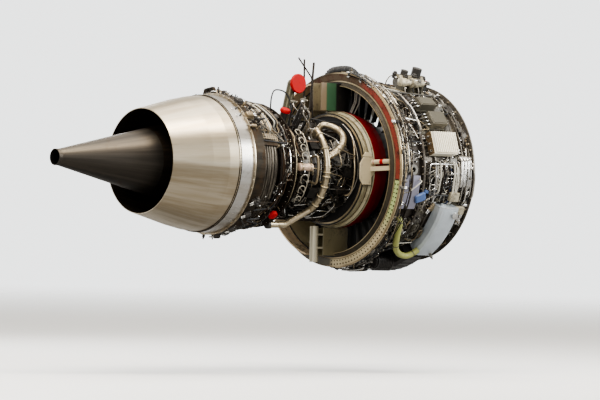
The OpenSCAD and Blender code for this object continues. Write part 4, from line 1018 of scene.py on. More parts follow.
# %% Places to keep free
TAKEN = {
    # what is there: clocks from and to, stations from and to, radii from and to
    "first control box": (36.5, 47.5, 140, 350, 0, 770),
    "second control box": (49, 63, 130, 340, 0, 770),
    "finned box": (63.5, 81, 100, 375, 0, 790),
    "oil tank": (111, 149, 52, 270, 0, 800),
    "top valve": (14, 28, 70, 392, 0, 880),
    "gearbox": (149, 215, 110, 350, 0, 810),
    "generator": (155, 174, 330, 530, 680, 830),
    "starter": (192, 208, 330, 490, 680, 820),
    "front mount": (-10, 10, 530, 690, 0, 760),
    "starboard handling boss": (86, 94, 555, 665, 0, 770),
    "port handling boss": (266, 274, 555, 665, 0, 770),
    "bleed duct": (38, 152, 1148, 1222, 345, 412),
    "hook duct": (14, 82, 905, 1160, 352, 410),
    "bleed elbow": (148, 168, 1150, 1570, 345, 505),
    "bleed riser": (-12, 12, 1240, 1330, 0, 520),
    "hook duct's upright end": (-14, 24, 1010, 1066, 0, 420),
    "lavender panel": (92, 124, 452, 650, 0, 790),
    "lower red cap": (140, 156, 1606, 1690, 0, 520),
    "fuel pigtails": (58, 130, 1400, 1482, 400, 440),
}


def is_free(path):
    """True where no point of a path in millimetres lies in a taken place."""
    path = np.concatenate([path[:-1] * (1 - f) + path[1:] * f for f in (0, 0.25, 0.5, 0.75, 1)])
    clocks = np.degrees(np.arctan2(-path[:, 1], path[:, 2]))
    reach = np.hypot(path[:, 1], path[:, 2])
    for c0, c1, s0, s1, r0, r1 in TAKEN.values():
        middle, half = (c0 + c1) / 2, (c1 - c0) / 2
        off = np.abs((clocks - middle + 180) % 360 - 180)
        if np.any((off < half) & (-path[:, 0] > s0) & (-path[:, 0] < s1) & (reach > r0)
                  & (reach < r1)):
            return False
    return True


print("places kept free:", len(TAKEN))

# %% [markdown]
# ## Bolted joints
# Every flange is closed by a ring of bolts. A hexagon head with a washer face is enough detail at
# this size; placing them by loop keeps the pitch exact.

# %% Rings of bolts
bolts = Stock("flange_bolts", "bolt_steel", "rear_frame")
dark_bolts = Stock("seal_band_bolts", "pipe_dark", "seal_band_lower")


WASHER = 1.6


def bolt(place, size, height, stock):
    """A hexagon head on its washer."""
    stock.add(turned_shape([(size * 1.35, 0), (size * 1.35, WASHER)], sides=8), place)
    stock.add(hex_nut(size, height), shifted(place, z=WASHER))


def ring_of_bolts(count, station, radius, size, height, first=0.0, last=360.0, facing=-1,
                  stock=bolts):
    """Bolts whose heads stand aft (-1) or forward (1) of a station."""
    for k in range(count):
        clock = first + (last - first) * (k + 0.5) / count
        origin, (ahead, left, out) = seat(clock, station, radius)
        bolt((origin, np.array((out, -left if facing < 0 else left, ahead * facing))), size,
             height, stock)


ring_of_bolts(72, 432, 679, 6, 6)
ring_of_bolts(60, 720.2, 736, 5, 5, 97, 271)
ring_of_bolts(36, -98, 694, 7, 9)
ring_of_bolts(32, 765, 757, 5, 3, 98, 182, stock=dark_bolts)
ring_of_bolts(32, 765, 729, 4, 3, 98, 182, stock=dark_bolts)
ring_of_bolts(30, 765, 762, 3, 2.5, 24, 94, stock=dark_bolts)
ring_of_bolts(60, 1590.2, 372, 4.5, 7, facing=1)
ring_of_bolts(64, 1602, 466, 5, 6)
ring_of_bolts(72, 1950, 487, 4.5, 6, facing=1)
ring_of_bolts(40, 870, 271, 4, 5)
ring_of_bolts(40, 1330, 249, 4, 5, facing=1)
ring_of_bolts(54, 2063, 541, 4.5, 5)
tell(bolts, dark_bolts)

# %% [markdown]
# ## Small hardware
# Connectors, sensors, valves, brackets and little boxes fill the space between pipes. Each kind
# is drawn once as a function of its place, with a few sizes, and put on the case where the real
# engine has such things.

# %% Connectors, sensors and valves
steel_bits = Stock("steel_fittings", "bright_steel", "starter")
dark_bits = Stock("dark_fittings", "box_dark", "generator")
grey_bits = Stock("grey_brackets", "box_grey", "control_boxes")
cast_bits = Stock("cast_fittings", "cast_grey", "top_valve")
tan_bits = Stock("tan_brackets", "pipe_tan", "cooling_manifold")
red_bits = Stock("red_caps", "cap_red", "riser_blank")


def connector(stock, place, size):
    """A round plug with a coupling ring and a strain relief."""
    stock.add(turned_shape([(size, 0), (size, 8), (size * 1.25, 9), (size * 1.25, 17),
                            (size * 0.8, 18), (size * 0.8, 30), (size * 0.6, 34)], 10), place)


def sensor(stock, place, size):
    """A probe on a hexagon."""
    stock.add(hex_nut(size * 1.3, 9), place)
    stock.add(turned_shape([(size * 0.8, 0), (size * 0.8, 26), (size * 0.55, 30)], 8),
              shifted(place, z=9))


def valve(stock, place, size):
    """A round body with a waist and a cap, on a flange with four nuts."""
    stock.add(turned_shape([(size, 0), (size, 4), (size * 0.7, 6), (size * 0.7, 12),
                            (size * 0.95, 20), (size * 0.95, 34), (size * 0.6, 42),
                            (size * 0.45, 44), (size * 0.45, 54)], 14), place)
    for k in range(4):
        a = math.pi / 4 + k * math.pi / 2
        bolts.add(hex_nut(3, 3), shifted(place, size * 0.84 * math.cos(a),
                                         size * 0.84 * math.sin(a), 4))


print("hardware stocks:", len(Stock.made) - 2)

# %% Brackets, boxes and bowls
def bracket(stock, place, length, width, height):
    """An angle of sheet metal on two nuts."""
    stock.add(block(length, width, 3.5, 1.2), place)
    stock.add(block(3.5, width, height, 1.2), shifted(place, x=length / 2 - 2))
    for x in (-length * 0.3, length * 0.15):
        bolts.add(hex_nut(4, 4), shifted(place, x=x, z=3.5))


def module(stock, place, length, width, height, plugs=2):
    """A box with a lid on a base plate, nuts at its corners and plugs at its aft end."""
    stock.add(block(length + 10, width + 10, 5, 2), place)
    stock.add(block(length, width, height, 5), shifted(place, z=5))
    stock.add(block(length - 14, width - 14, 3, 1.5), shifted(place, z=5 + height))
    for x in (-1, 1):
        for y in (-1, 1):
            bolts.add(hex_nut(3.5, 4), shifted(place, x * (length / 2 + 1), y * (width / 2 + 1), 5))
    for k in range(plugs):
        y = (k - (plugs - 1) / 2) * width / (plugs + 0.5)
        origin, axes = shifted(place, x=-length / 2, y=y, z=5 + height * 0.5)
        connector(steel_bits, (origin, np.array((axes[2], axes[1], -axes[0]))), 7.0)


def filter_bowl(stock, place, size):
    """A round bowl lying along the case on a saddle, with a hexagon end."""
    stock.add(block(size * 1.6, size * 1.2, size, 3), place)
    origin, (ahead, left, out) = shifted(place, x=-size * 2, z=size * 1.5)
    bowl = (origin, np.array((out, -left, ahead)))
    stock.add(turned_shape([(size * 0.6, 0), (size, 6), (size, size * 3), (size * 0.8, size * 3 + 4),
                            (size * 0.8, size * 4 - 6), (size * 0.5, size * 4)], 14), bowl)
    bolts.add(hex_nut(size * 0.5, 10), shifted(bowl, z=size * 4))


tell(bolts)

# %% Strewing hardware over a case
KINDS = (connector, sensor, valve, bracket, module, filter_bowl)


def scatter(seed, count, clocks, stations, skin, stocks, weights=(5, 5, 3, 5, 3, 2), scale=1.0):
    """Small hardware strewn over the free parts of a case."""
    pick = random.Random(seed)
    for _ in range(count):
        clock, station = pick.uniform(*clocks), pick.uniform(*stations)
        kind = pick.choices(KINDS, weights)[0]
        stock = pick.choice(stocks)
        spin, size = pick.choice((0, 90, 180, 270, 30, 60)), pick.uniform(0.7, 1.2) * scale
        place = turned_axes(seat(clock, station, skin(station) - 1), spin)
        if not is_free(place[0] + np.outer((0, 30, 60), place[1][2])):
            continue
        if kind is bracket:
            bracket(stock, place, 60 * size, 22 * size, 26 * size)
        elif kind is module:
            module(stock, place, 80 * size, 56 * size, 34 * size)
        else:
            kind(stock, place, (20.0 if kind in (valve, filter_bowl) else 8.5) * size)


print("kinds of hardware:", [kind.__name__ for kind in KINDS])

# %% [markdown]
# ## Pipes, hoses and looms
# Between the boxes run hundreds of pipes: oil and fuel lines, air senses and cable looms. They
# cross in layers, thin ones near the case and thick ones further out. The stops of each run come
# from a seeded generator, so the picture is rich but the same every time. Every run dives to the
# case at both ends, is held on the way, and is dropped if it would pass through a box or a duct.

# %% Pipes by finish
thin_steel = Stock("thin_steel_pipes", "pipe_steel", "fuel_manifold")
thick_steel = Stock("steel_pipes", "bright_steel", "fuel_nozzles")
dark_pipes = Stock("dark_pipes", "pipe_dark", "gearbox")
tan_pipes = Stock("tan_pipes", "pipe_tan", "cooling_tubes")
brown_pipes = Stock("brown_pipes", "copper_brown", "rear_frame")
blue_pipes = Stock("blue_pipes", "pipe_blue", "generator")
black_hoses = Stock("black_hoses", "hose_black", "gearbox")
grey_looms = Stock("grey_looms", "loom_grey", "generator")
white_sleeves = Stock("white_sleeves", "loom_white", "oil_tank")
clips = Stock("pipe_clips", "box_grey", "control_boxes")
print("stocks so far:", len(Stock.made))

# %% Clips, and the stops of a run
def hold_pipe(path, radius, skin, every=5):
    """Blocks or thin legs that carry a pipe on the case."""
    for index in range(2, len(path) - 2, every):
        x, y, z = path[index]
        station, distance = -x, math.hypot(y, z)
        clock = math.degrees(math.atan2(-y, z))
        base = skin(station)
        rise = distance - base
        if 4 < rise < 40:
            clips.add(block(9, 11, rise + radius + 2, 1.5), seat(clock, station, base - 1))
        elif rise >= 40:
            clips.add(block(5, 5, rise, 1), seat(clock, station, base - 1))
            clips.add(block(12, 12, radius * 1.5, 1.5),
                      seat(clock, station, distance - radius * 0.4))


def wander(pick, clocks, stations, skin, levels, legs, wide, slant, turns):
    """Stops of one run that goes round, along or slantwise by turns above the skin."""
    clock, station = pick.uniform(*clocks), pick.uniform(*stations)
    level = pick.uniform(*levels)
    stops = [(clock, station, skin(station) + 2), (clock, station, skin(station) + level)]
    around = pick.random() < wide
    for _ in range(legs):
        both = pick.random() < slant
        if around or both:
            step = pick.uniform(*turns) * pick.choice((-1, 1))
            if not clocks[0] <= clock + step <= clocks[1]:
                step = -step
            clock = min(max(clock + step, clocks[0]), clocks[1])
        if both or not around:
            station = pick.uniform(*stations)
        level = min(max(level + pick.uniform(-14, 14), levels[0]), levels[1])
        stops.append((clock, station, skin(station) + level))
        around = not around
    stops.append((clock, station, skin(station) + 2))
    return [stop for k, stop in enumerate(stops) if k == 0 or stop != stops[k - 1]]


print("stops of a run:", len(wander(random.Random(1), (0, 90), (0, 400), fan_skin, (4, 60), 3,
                                    0.6, 0.3, (8, 34))))

# %% Woven runs and straight bundles
LEGS = (2, 5)


def weave(seed, count, clocks, stations, skin, choices, levels, wide=0.6, slant=0.3, every=6,
          turns=(8, 34)):
    """Many runs over part of a case; choices are (stock, thinnest, thickest)."""
    pick = random.Random(seed)
    laid = 0
    for _ in range(count * 3):
        stock, low, high = pick.choice(choices)
        radius = pick.uniform(low, high)
        stops = wander(pick, clocks, stations, skin, (levels[0] + radius, levels[1]),
                       pick.randint(*LEGS), wide, slant, turns)
        if len(stops) < 3:
            continue
        path = routed(stops, max(20.0, radius * 5))
        if not is_free(path):
            continue
        stock.add(tube(path, radius, 6 if radius < 4.5 else 8))
        for index in (0, len(path) - 1):
            steel_bits.add(hex_nut(radius * 1.8, radius * 2.4), along_path(path, index))
        hold_pipe(path, radius, skin, every)
        laid += 1
        if laid == count:
            break
    return laid


def bundle(stocks, stops, radius, pitch):
    """Parallel pipes side by side along the same stops, one for each stock given."""
    for k, stock in enumerate(stocks):
        off = (k - (len(stocks) - 1) / 2) * pitch
        path = routed([(c, s + off, r + (3 if k % 2 else 0)) for c, s, r in stops], 30.0)
        stock.add(tube(path, radius))
        for index in (0, len(path) - 1):
            steel_bits.add(hex_nut(radius * 1.7, radius * 2.2), along_path(path, index))


tell(clips, steel_bits)

# %% Runs on the fan case
FAN_CHOICES = ((thin_steel, 3, 5), (thin_steel, 2.5, 4.5), (thick_steel, 5, 8), (dark_pipes, 4, 8),
               (dark_pipes, 3, 6), (tan_pipes, 3, 5), (black_hoses, 5, 9), (black_hoses, 4, 7),
               (grey_looms, 4, 8), (white_sleeves, 3, 5), (brown_pipes, 3, 5))
SHORT = (3, 11)
GEARBOX_COVER, LOWER_LEVEL = 801, 748
runs = weave(11, 100, (6, 150), (30, 405), fan_skin, FAN_CHOICES, (4, 60), slant=0.5, turns=SHORT)
runs += weave(12, 80, (8, 178), (440, 705), fan_skin, FAN_CHOICES, (2, 30), slant=0.6, turns=SHORT)
runs += weave(13, 26, (6, 150), (60, 690), lambda s: fan_skin(s) + 34, FAN_CHOICES, (8, 44),
              wide=0.3, turns=(4, 14))
runs += weave(14, 60, (150, 215), (40, 690), fan_skin, FAN_CHOICES, (4, 60), wide=0.6)
runs += weave(15, 80, (215, 354), (40, 400), fan_skin, FAN_CHOICES, (6, 56), wide=0.7)
runs += weave(16, 40, (190, 350), (440, 700), fan_skin, FAN_CHOICES, (4, 28), wide=0.6)
runs += weave(17, 70, (0, 360), (-88, -16), fan_skin, FAN_CHOICES, (4, 40), slant=0.6, turns=SHORT)
runs += weave(18, 30, (-14, 24), (400, 712), fan_skin, FAN_CHOICES, (8, 60), slant=0.5)
runs += weave(19, 50, (158, 212), (352, 640), level_skin(LOWER_LEVEL), FAN_CHOICES, (6, 60),
              slant=0.5, every=30, turns=(4, 20))
runs += weave(20, 34, (152, 212), (60, 640), level_skin(GEARBOX_COVER), FAN_CHOICES, (3, 8),
              slant=0.6, every=4, turns=(4, 16))
print("runs on the fan case:", runs)

# %% Hardware on the fan case
FAN_BITS = (cast_bits, grey_bits, dark_bits, steel_bits, dark_bits, tan_bits)
scatter(20, 130, (4, 150), (24, 705), fan_skin, (cast_bits, grey_bits, dark_bits), scale=0.9,
        weights=(4, 4, 4, 8, 5, 3))
scatter(21, 120, (4, 150), (24, 400), fan_skin, FAN_BITS)
scatter(22, 70, (4, 178), (440, 705), fan_skin, FAN_BITS, scale=0.8)
scatter(23, 110, (150, 354), (24, 400), fan_skin, FAN_BITS)
scatter(24, 44, (190, 350), (440, 700), fan_skin, FAN_BITS, scale=0.8)
scatter(25, 150, (0, 360), (-84, -20), fan_skin, FAN_BITS, scale=0.75)
scatter(26, 40, (-12, 26), (404, 706), fan_skin, (cast_bits, tan_bits, dark_bits), scale=1.1)
scatter(27, 50, (152, 212), (146, 324), level_skin(GEARBOX_COVER - 5),
        (dark_bits, cast_bits, dark_bits), scale=0.7)
tell(steel_bits, dark_bits, grey_bits, cast_bits, tan_bits)

# %% [markdown]
# ## Runs on the core
# The core is narrower than the fan case and far more crowded: its pipes stand out almost to the
# inner duct wall. Most are black or soot-brown. A few bare and cream ones catch the light, and the
# bleed ducts stand out in front of them.

# %% Hardware on the core
REAR_FLANGE = 546
CORE_DARK = ((dark_pipes, 3, 7), (dark_pipes, 4, 9), (black_hoses, 4, 8), (brown_pipes, 3, 6),
             (black_hoses, 3, 6), (grey_looms, 3, 6))
CORE_LIGHT = ((thin_steel, 2.5, 4), (tan_pipes, 3, 5), (tan_pipes, 2.5, 4), (brown_pipes, 3, 5),
              (dark_pipes, 3, 6), (dark_pipes, 3, 5), (thick_steel, 3, 4.5))
CORE_BITS = (dark_bits, dark_bits, tan_bits, steel_bits, cast_bits)
scatter(40, 70, (0, 360), (890, 1320), core_skin, (dark_bits, cast_bits, dark_bits), scale=1.9,
        weights=(1, 1, 4, 1, 5, 5))
scatter(41, 60, (0, 360), (890, 1320), core_skin, CORE_BITS)
scatter(42, 50, (0, 360), (1415, 1570), core_skin, CORE_BITS, scale=0.8)
scatter(43, 60, (0, 360), (1620, 1760), core_skin, (tan_bits, dark_bits, dark_bits), scale=0.7)
scatter(44, 40, (-60, 62), (1965, 2040), level_skin(REAR_FLANGE),
        (dark_bits, dark_bits, tan_bits), scale=0.7, weights=(2, 2, 2, 6, 3, 1))
scatter(45, 34, (118, 250), (1965, 2040), level_skin(REAR_FLANGE), (dark_bits,), scale=0.7,
        weights=(2, 2, 2, 6, 3, 1))
tell(dark_bits, cast_bits, tan_bits)

# %% Runs on the core
def rear_skin(station):
    """Just above the turbine's tubes and the rear flange."""
    return min(core_skin(station) + 20, REAR_FLANGE + 6)


runs = weave(31, 130, (0, 360), (880, 1325), core_skin, CORE_DARK, (8, 130), slant=0.5, every=9)
runs += weave(32, 80, (0, 360), (880, 1330), core_skin, CORE_LIGHT, (70, 165), slant=0.5, every=9)
runs += weave(33, 40, (0, 360), (860, 1560), level_skin(360), CORE_DARK, (20, 70),
              slant=0.6, every=30)
runs += weave(34, 50, (0, 360), (1405, 1572), core_skin, CORE_DARK + CORE_LIGHT, (6, 70), wide=0.8)
runs += weave(35, 50, (0, 360), (1606, 1770), core_skin, CORE_DARK + CORE_LIGHT, (4, 44), wide=0.9)
runs += weave(36, 60, (-70, 72), (1640, 2040), rear_skin, CORE_DARK + CORE_DARK + CORE_LIGHT,
              (4, 26), slant=0.5)
runs += weave(37, 40, (118, 290), (1640, 2040), rear_skin, CORE_DARK, (4, 30), slant=0.5)
print("runs on the core:", runs)

# %% [markdown]
# ## Pieces that the photograph shows clearly
# Some pieces can be told apart in the picture: red caps, a pink sleeve beside the bleed duct, a
# ribbed black seal on top, a yellow hose, bundles of straight tubes. Each is placed by its clock
# angle, station and radius, which were read from where it appears. The red caps close open ports
# while the engine is in the shop, and each stands on a short dark neck.

# %% Red caps
CAP_HEIGHT = 30.0
CAPS = ((25, 1477, 470, 42), (142, 1666, 476, 38), (13, -66, 742, 20), (300, 1480, 400, 26),
        (250, 300, 690, 22))


def red_cap(place, size):
    """A moulded cap with a rolled rim and a domed top."""
    red_bits.add(turned_shape([(size * 0.9, 0), (size, 4), (size, CAP_HEIGHT * 0.75),
                               (size * 0.86, CAP_HEIGHT), (size * 0.3, CAP_HEIGHT * 1.08)], 18),
                 place)


for clock, station, radius, size in CAPS:
    base = core_skin(station) if station > 800 else fan_skin(station)
    dark_bits.add(turned_shape([(size * 0.7, 0), (size * 0.7, radius - base)], 14),
                  seat(clock, station, base))
    red_cap(seat(clock, station, radius - 4), size)
tell(red_bits)

# %% [markdown]
# ## Fittings above the combustor
# On top of the core, valves and plugs stand on posts high above the combustor, each with a
# pipe that bends down to the case. A loop places them and takes the kinds in turn.

# %% Fittings that stand above the combustor
FITTINGS = ((22, 1290, 545), (28, 1350, 572), (33, 1404, 590), (30, 1330, 500), (36, 1390, 540),
            (25, 1300, 480), (38, 1330, 470), (18, 1360, 520))
for k, (clock, station, reach) in enumerate(FITTINGS):
    base = core_skin(station)
    dark_bits.add(turned_shape([(8, 0), (8, reach - base)], 10), seat(clock, station, base))
    kind, size, pipe = ((valve, 18, tan_pipes), (filter_bowl, 15, thin_steel),
                        (connector, 13, dark_pipes))[k % 3]
    kind((cast_bits, grey_bits)[k % 2], seat(clock, station, reach - 6), size)
    lay_pipe(pipe, [(clock, station + 6, reach + 18), (clock + 5, station + 30, reach - 6),
                    (clock + 9, station - 46, reach - 60), (clock + 10, station - 50, base)], 5,
             steel_bits)
print("fittings above the combustor:", len(FITTINGS))

# %% [markdown]
# ## Beside the bleed ducts
# A pale pink sleeve lies along the combustor between two collars, and three long pipes cross the
# core in front of the dark ones. The sleeve is a turned shape that lies forward along the engine.

# %% Sleeve and the pipes beside it
SLEEVE_CLOCK, SLEEVE_RADIUS = 91, 430
pink_parts = Stock("pink_sleeve", "pink_sleeve", "strut_starboard")
pink_parts.add(turned_shape([(22, 0), (30, 6), (30, 34), (27, 38), (27, 100), (30, 104), (30, 138),
                             (22, 145)], 22), lying(SLEEVE_CLOCK, 1531, SLEEVE_RADIUS))
for station in (1505, 1420):
    tan_bits.add(turned_shape([(33, 0), (33, 12)], 22),
                 lying(SLEEVE_CLOCK, station, SLEEVE_RADIUS))
    tan_bits.add(block(12, 16, 56, 2), seat(SLEEVE_CLOCK, station - 6, 343))
lay_pipe(tan_pipes, [(76, 1292, 300), (77, 1292, 400), (110, 1292, 400), (111, 1292, 300)], 9,
         steel_bits)
lay_pipe(tan_pipes, [(36, 836, 395), (42, 850, 400), (80, 912, 402), (118, 905, 400),
                     (124, 930, 392), (120, 960, 330), (119, 980, 262)], 7, steel_bits)
lay_pipe(thin_steel, [(30, 872, 410), (60, 882, 414), (100, 880, 408), (126, 890, 380)], 4,
         steel_bits)
tell(pink_parts, tan_bits)

# %% [markdown]
# ## Fuel pigtails
# Each fuel nozzle is fed by a thin tube that makes a loop before it dives to the case, because
# the case grows when it is hot and a straight tube would crack. A loop is most of a circle, drawn
# on the unrolled case and swept as a tube.

# %% Pigtails and their feed
PIGTAIL_STATION, PIGTAIL_RADIUS = 1441, 418
PIGTAIL_DEPTH, PIGTAIL_THICK = 66, 4.2
PIGTAILS = ((50, 26), (61, 27), (70, 30), (79, 30), (104, 38), (116, 34), (128, 30), (300, 30),
            (280, 34), (260, 34), (240, 30), (220, 30))
pigtails = Stock("fuel_pigtails", "tube_light", "fuel_nozzles")


def pigtail(clock, size):
    """A loop of thin tube on the way to a fuel nozzle, which lets the feed flex."""
    station, radius = PIGTAIL_STATION, PIGTAIL_RADIUS
    points = [seat(clock + 2, station - size - 4, radius - PIGTAIL_DEPTH)[0]]
    for k in range(12):
        angle = math.radians(215 - 25 * k)
        points.append(seat(clock - math.degrees(size * math.sin(angle) / radius),
                           station + size * math.cos(angle), radius)[0])
    points.append(seat(clock + 3, station + size, radius - PIGTAIL_DEPTH)[0])
    pigtails.add(tube(points, PIGTAIL_THICK, 8))


for clock, size in PIGTAILS:
    pigtail(clock, size)
lay_pipe(pigtails, [(46, 1380, 350), (47, 1386, 405), (128, 1392, 405), (129, 1392, 350)], 4.5,
         steel_bits)
lay_pipe(black_hoses, [(8, 1500, 350), (6, 1500, 540), (2, 1440, 612), (3, 1330, 600),
                       (6, 1290, 520), (8, 1290, 250)], 6, steel_bits, bend=70)
tell(pigtails)

# %% [markdown]
# ## Collars on the bleed ducts
# The ducts are sheet-metal tubes with beads and clamped joints. Each collar is a short turned ring
# on the duct's own centre line.

# %% Duct collars
BLEED_STATION, BLEED_RADIUS = 1182, 380
COLLAR_CLOCKS = (48, 67, 96, 101, 113, 126, 139)
BEAD = [(26, -7), (29, -6), (31.5, -3), (31.5, 3), (29, 6), (26, 7)]
DARK_RING = [(26, 8), (28.6, 8.5), (28.6, 10.5), (26, 11)]
collars = Stock("duct_collars", "collar_cream", "bleed_duct")
for clock in COLLAR_CLOCKS:
    collars.add(turned_shape(BEAD, 24), across(clock, BLEED_STATION, BLEED_RADIUS))
    dark_bits.add(turned_shape(DARK_RING, 24), across(clock, BLEED_STATION, BLEED_RADIUS))
tell(collars)

# %% [markdown]
# ## The hook duct
# A branch of the bleed duct turns back over the compressor in one smooth bend. The CAD solid draws
# it with straight lengths, so a swept tube with real bends stands for it here, with beads on its
# lower arm, a foot on the case and a stay. A dark cap closes the open end of the elbow.

# %% Hook duct
HOOK_THICK, HOOK_BEND = 26, 110
hook = Stock("hook_duct", "duct_cream", "bleed_branch", stands_for="bleed_branch")
hook_path = routed([(75.7, 1137, 380), (71.8, 1083, 380), (60, 974, 382), (46, 926, 382),
                    (33, 944, 381), (20, 1036, 380), (20, 1038, 262)], HOOK_BEND, step=7.0)
hook.add(tube(hook_path, HOOK_THICK, 24))
for index in (2, 5, 8, 11):
    hook.add(turned_shape([(25, -5), (29, -3), (29, 3), (25, 5)], 24), along_path(hook_path, index))
hook.add(turned_shape([(36, 0), (36, 8), (28, 10)], 24), seat(20, 1038, 262))
hook.add(turned_shape([(8, 0), (8, 112)], 12), seat(54, 962, 262))
dark_bits.add(turned_shape([(18, -30), (33, -24), (35, -16), (35, 0), (30, 4)], 24),
              lying(165, 1552, 471))
tell(hook)

# %% [markdown]
# ## The ribbed seal on top
# A soft black seal lies round the front mount, where the pylon meets the engine. It is a tube
# whose radius swells and shrinks along its path, which gives the ribs.

# %% Ribbed seal and beam ends on top
ribbed = Stock("ribbed_seal", "hose_black", "front_mount")
seal_path = routed([(-12, 722, 752), (-8, 718, 796), (8, 712, 800), (14, 708, 758)], 60, step=3.0)
swell = 33 + 5 * np.sin(np.arange(len(seal_path)) * 1.1)
ribbed.add(tube(seal_path, swell, 16))
for clock in (-9, 9):
    cast_bits.add(block(60, 40, 30, 4), seat(clock, 640, 700))
tell(ribbed)

# %% [markdown]
# ## Trim on the rings
# The outer ring has a groove with a bright lip each side, and the inner ring has thin retaining
# strips. They are turned strips that lie on the CAD surfaces.

# %% Turned strips
trim = Stock("ring_trim", "trim_tan", "outer_groove_ring")
dark_trim = Stock("dark_ring_trim", "duct_black_shade", "outer_groove_ring")


def strip(stock, points, first=0.0, last=360.0, step=3.0):
    """Turns a closed profile of (radius, station) about the engine axis between two clocks."""
    count = max(2, int((last - first) / step) + 1)
    whole = last - first >= 360
    if whole:
        count -= 1
    rows = []
    for k in range(count):
        clock = math.radians(first + (last - first) * k / (count if whole else count - 1))
        rows += [(-s, -r * math.sin(clock), r * math.cos(clock)) for r, s in points]
    n, faces = len(points), []
    for k in range(count if whole else count - 1):
        for i in range(n):
            a, b = k * n + i, k * n + (i + 1) % n
            c, d = (a + n) % (count * n), (b + n) % (count * n)
            faces.append((a, c, d, b))
    if not whole:
        faces.append(tuple(range(n)))
        faces.append(tuple(range((count - 1) * n, count * n))[::-1])
    stock.add((rows, faces))


def square_strip(stock, inner, outer, front, aft, **spread):
    """A strip of plain section between two radii and two stations."""
    strip(stock, [(inner, front), (outer, front), (outer, aft), (inner, aft)], **spread)


print("trim stocks:", trim.name, dark_trim.name)

# %% Ring trim
flange_band = Stock("turbine_flange_band", "duct_cream", "turbine_case")
square_strip(trim, 768, 779, 760, 767)
square_strip(trim, 703, 713, 760, 766)
# Painted shade: this dark strip lies in the groove beside the bright lip.
square_strip(dark_trim, 692, 702, 755, 763, step=2.0)
nose = Stock("ridged_nose", "nose_olive", "duct_lip")
for k in range(4):
    low, station = 698 - 7 * k, 764 + 6 * k
    strip(nose, [(low - 4, station - 7), (low + 3, station - 5), (low, station + 1),
                 (low - 6, station + 1)], 6, 178, 2.0)
strip(trim, [(668, 787), (673, 786), (673, 790), (668, 790)], 6, 178, 2.0)
square_strip(trim, 780, 786, 752, 760, first=4, last=178, step=2.0)
square_strip(trim, 686, 689, 700, 712, step=2.0)
strip(flange_band, [(444, 1560), (452, 1558), (455, 1572), (455, 1588), (450, 1590), (444, 1590)])
square_strip(trim, 446, 450, 800, 805)
# Painted shade: this dark strip lies in the groove of the inner ring, beside its bright lip.
square_strip(dark_trim, 438, 447.5, 843, 851)
square_strip(trim, 424, 436, 850, 854)
for radius, station in ((469, 770), (447, 790)):
    square_strip(dark_trim, radius - 2, radius + 1, station, station + 3)
tell(trim, dark_trim, nose)

# %% [markdown]
# ## Clutter round the outer ring
# Thin pipes and clamps run round the rim of the outer ring and cover its corner. The same two
# generators that dressed the fan case lay them, with low levels and small sizes.

# %% Clamps and pipes round the outer ring
RIM = 780
scatter(71, 70, (6, 176), (712, 752), level_skin(RIM - 2),
        (dark_bits, tan_bits, cast_bits, dark_bits), scale=0.45, weights=(2, 3, 1, 8, 2, 1))
runs = weave(72, 22, (6, 176), (640, 752), level_skin(RIM),
             ((tan_pipes, 2.5, 4), (dark_pipes, 3, 5), (thin_steel, 2.5, 3.5), (black_hoses, 3, 5)),
             (3, 12), wide=0.9, slant=0.6)
runs += weave(73, 26, (12, 34), (690, 780), level_skin(RIM - 20),
              ((dark_pipes, 3, 6), (tan_pipes, 3, 4), (black_hoses, 4, 6)), (4, 26), wide=0.9,
              slant=0.6, every=30)
print("runs round the outer ring:", runs)

# %% [markdown]
# ## Seams and rivets on the nozzle
# The front of the nozzle is a brighter band that is riveted to the skin behind it. The rivets are
# tiny turned heads in two rows, and the seams are thin dark strips that stand just off the skin.

# %% Nozzle band, seams and rivets
seams = Stock("nozzle_seams", "hot_dark", "exhaust_nozzle")
polished = Stock("nozzle_front_band", "nozzle_front", "exhaust_nozzle")
strip(polished, [(531, 2064), (532.5, 2064), (527.5, 2180), (526, 2180)], step=2.0)
square_strip(seams, 527, 530.5, 2181, 2184, step=2.0)
square_strip(seams, 524, 528, 2196, 2198, step=2.0)
REAR_RIVETS, FRONT_RIVETS = 150, 60
for k in range(REAR_RIVETS):
    seams.add(turned_shape([(2.6, 0), (2.0, 1.4)], 6), seat(k * 360 / REAR_RIVETS, 2190, 529.6))
for k in range(FRONT_RIVETS):
    seams.add(turned_shape([(2.2, 0), (1.6, 1.2)], 6), seat(k * 360 / FRONT_RIVETS, 2078, 531.5))
for clock in (38, 46):
    steel_bits.add(block(70, 34, 4, 1.5), turned_axes(seat(clock, 2096, 530), 12))
    dark_bits.add(block(26, 12, 12, 2), turned_axes(seat(clock, 2085, 533), 40))
tell(seams, polished)

# %% [markdown]
# ## Tubes round the turbine case
# The turbine case carries rings of small tubes that blow cooling air on it, a drilled plate on
# each side, and cable looms tied across the top. Under the tubes the case is nearly black.

# %% Tubes round the turbine case
ring_tubes = Stock("turbine_ring_tubes", "tube_tan", "cooling_tubes")


def ring_tube(stock, station, radius, thick, first=0.0, last=360.0):
    """A tube that runs round the engine between two clocks."""
    count = int((last - first) / 4) + 1
    path = []
    for k in range(count):
        clock = math.radians(first + (last - first) * k / (count - 1))
        path.append((-station, -radius * math.sin(clock), radius * math.cos(clock)))
    stock.add(tube(path, thick, 8, ends=last - first < 360))


for k in range(9):
    station = 1778 + 17 * k
    ring_tube(ring_tubes, station, core_skin(station) + 11 + 3 * (k % 2), 6, 62, 344)
bundle((tan_pipes, white_sleeves, tan_pipes, grey_looms, tan_pipes, white_sleeves, dark_pipes),
       [(14, 1850, 474), (16, 1850, 500), (57, 1850, 502), (60, 1850, 478)], 6.5, 17)
bundle((tan_pipes, black_hoses, white_sleeves), [(22, 1790, 470), (24, 1790, 520), (50, 1730, 512),
                                                  (52, 1725, 470)], 6, 15)
for station, thick in ((1668, 7), (1690, 5), (1706, 6), (1728, 8)):
    ring_tube(brown_pipes if station % 4 else dark_pipes, station, core_skin(station) + 16, thick)
tell(ring_tubes)

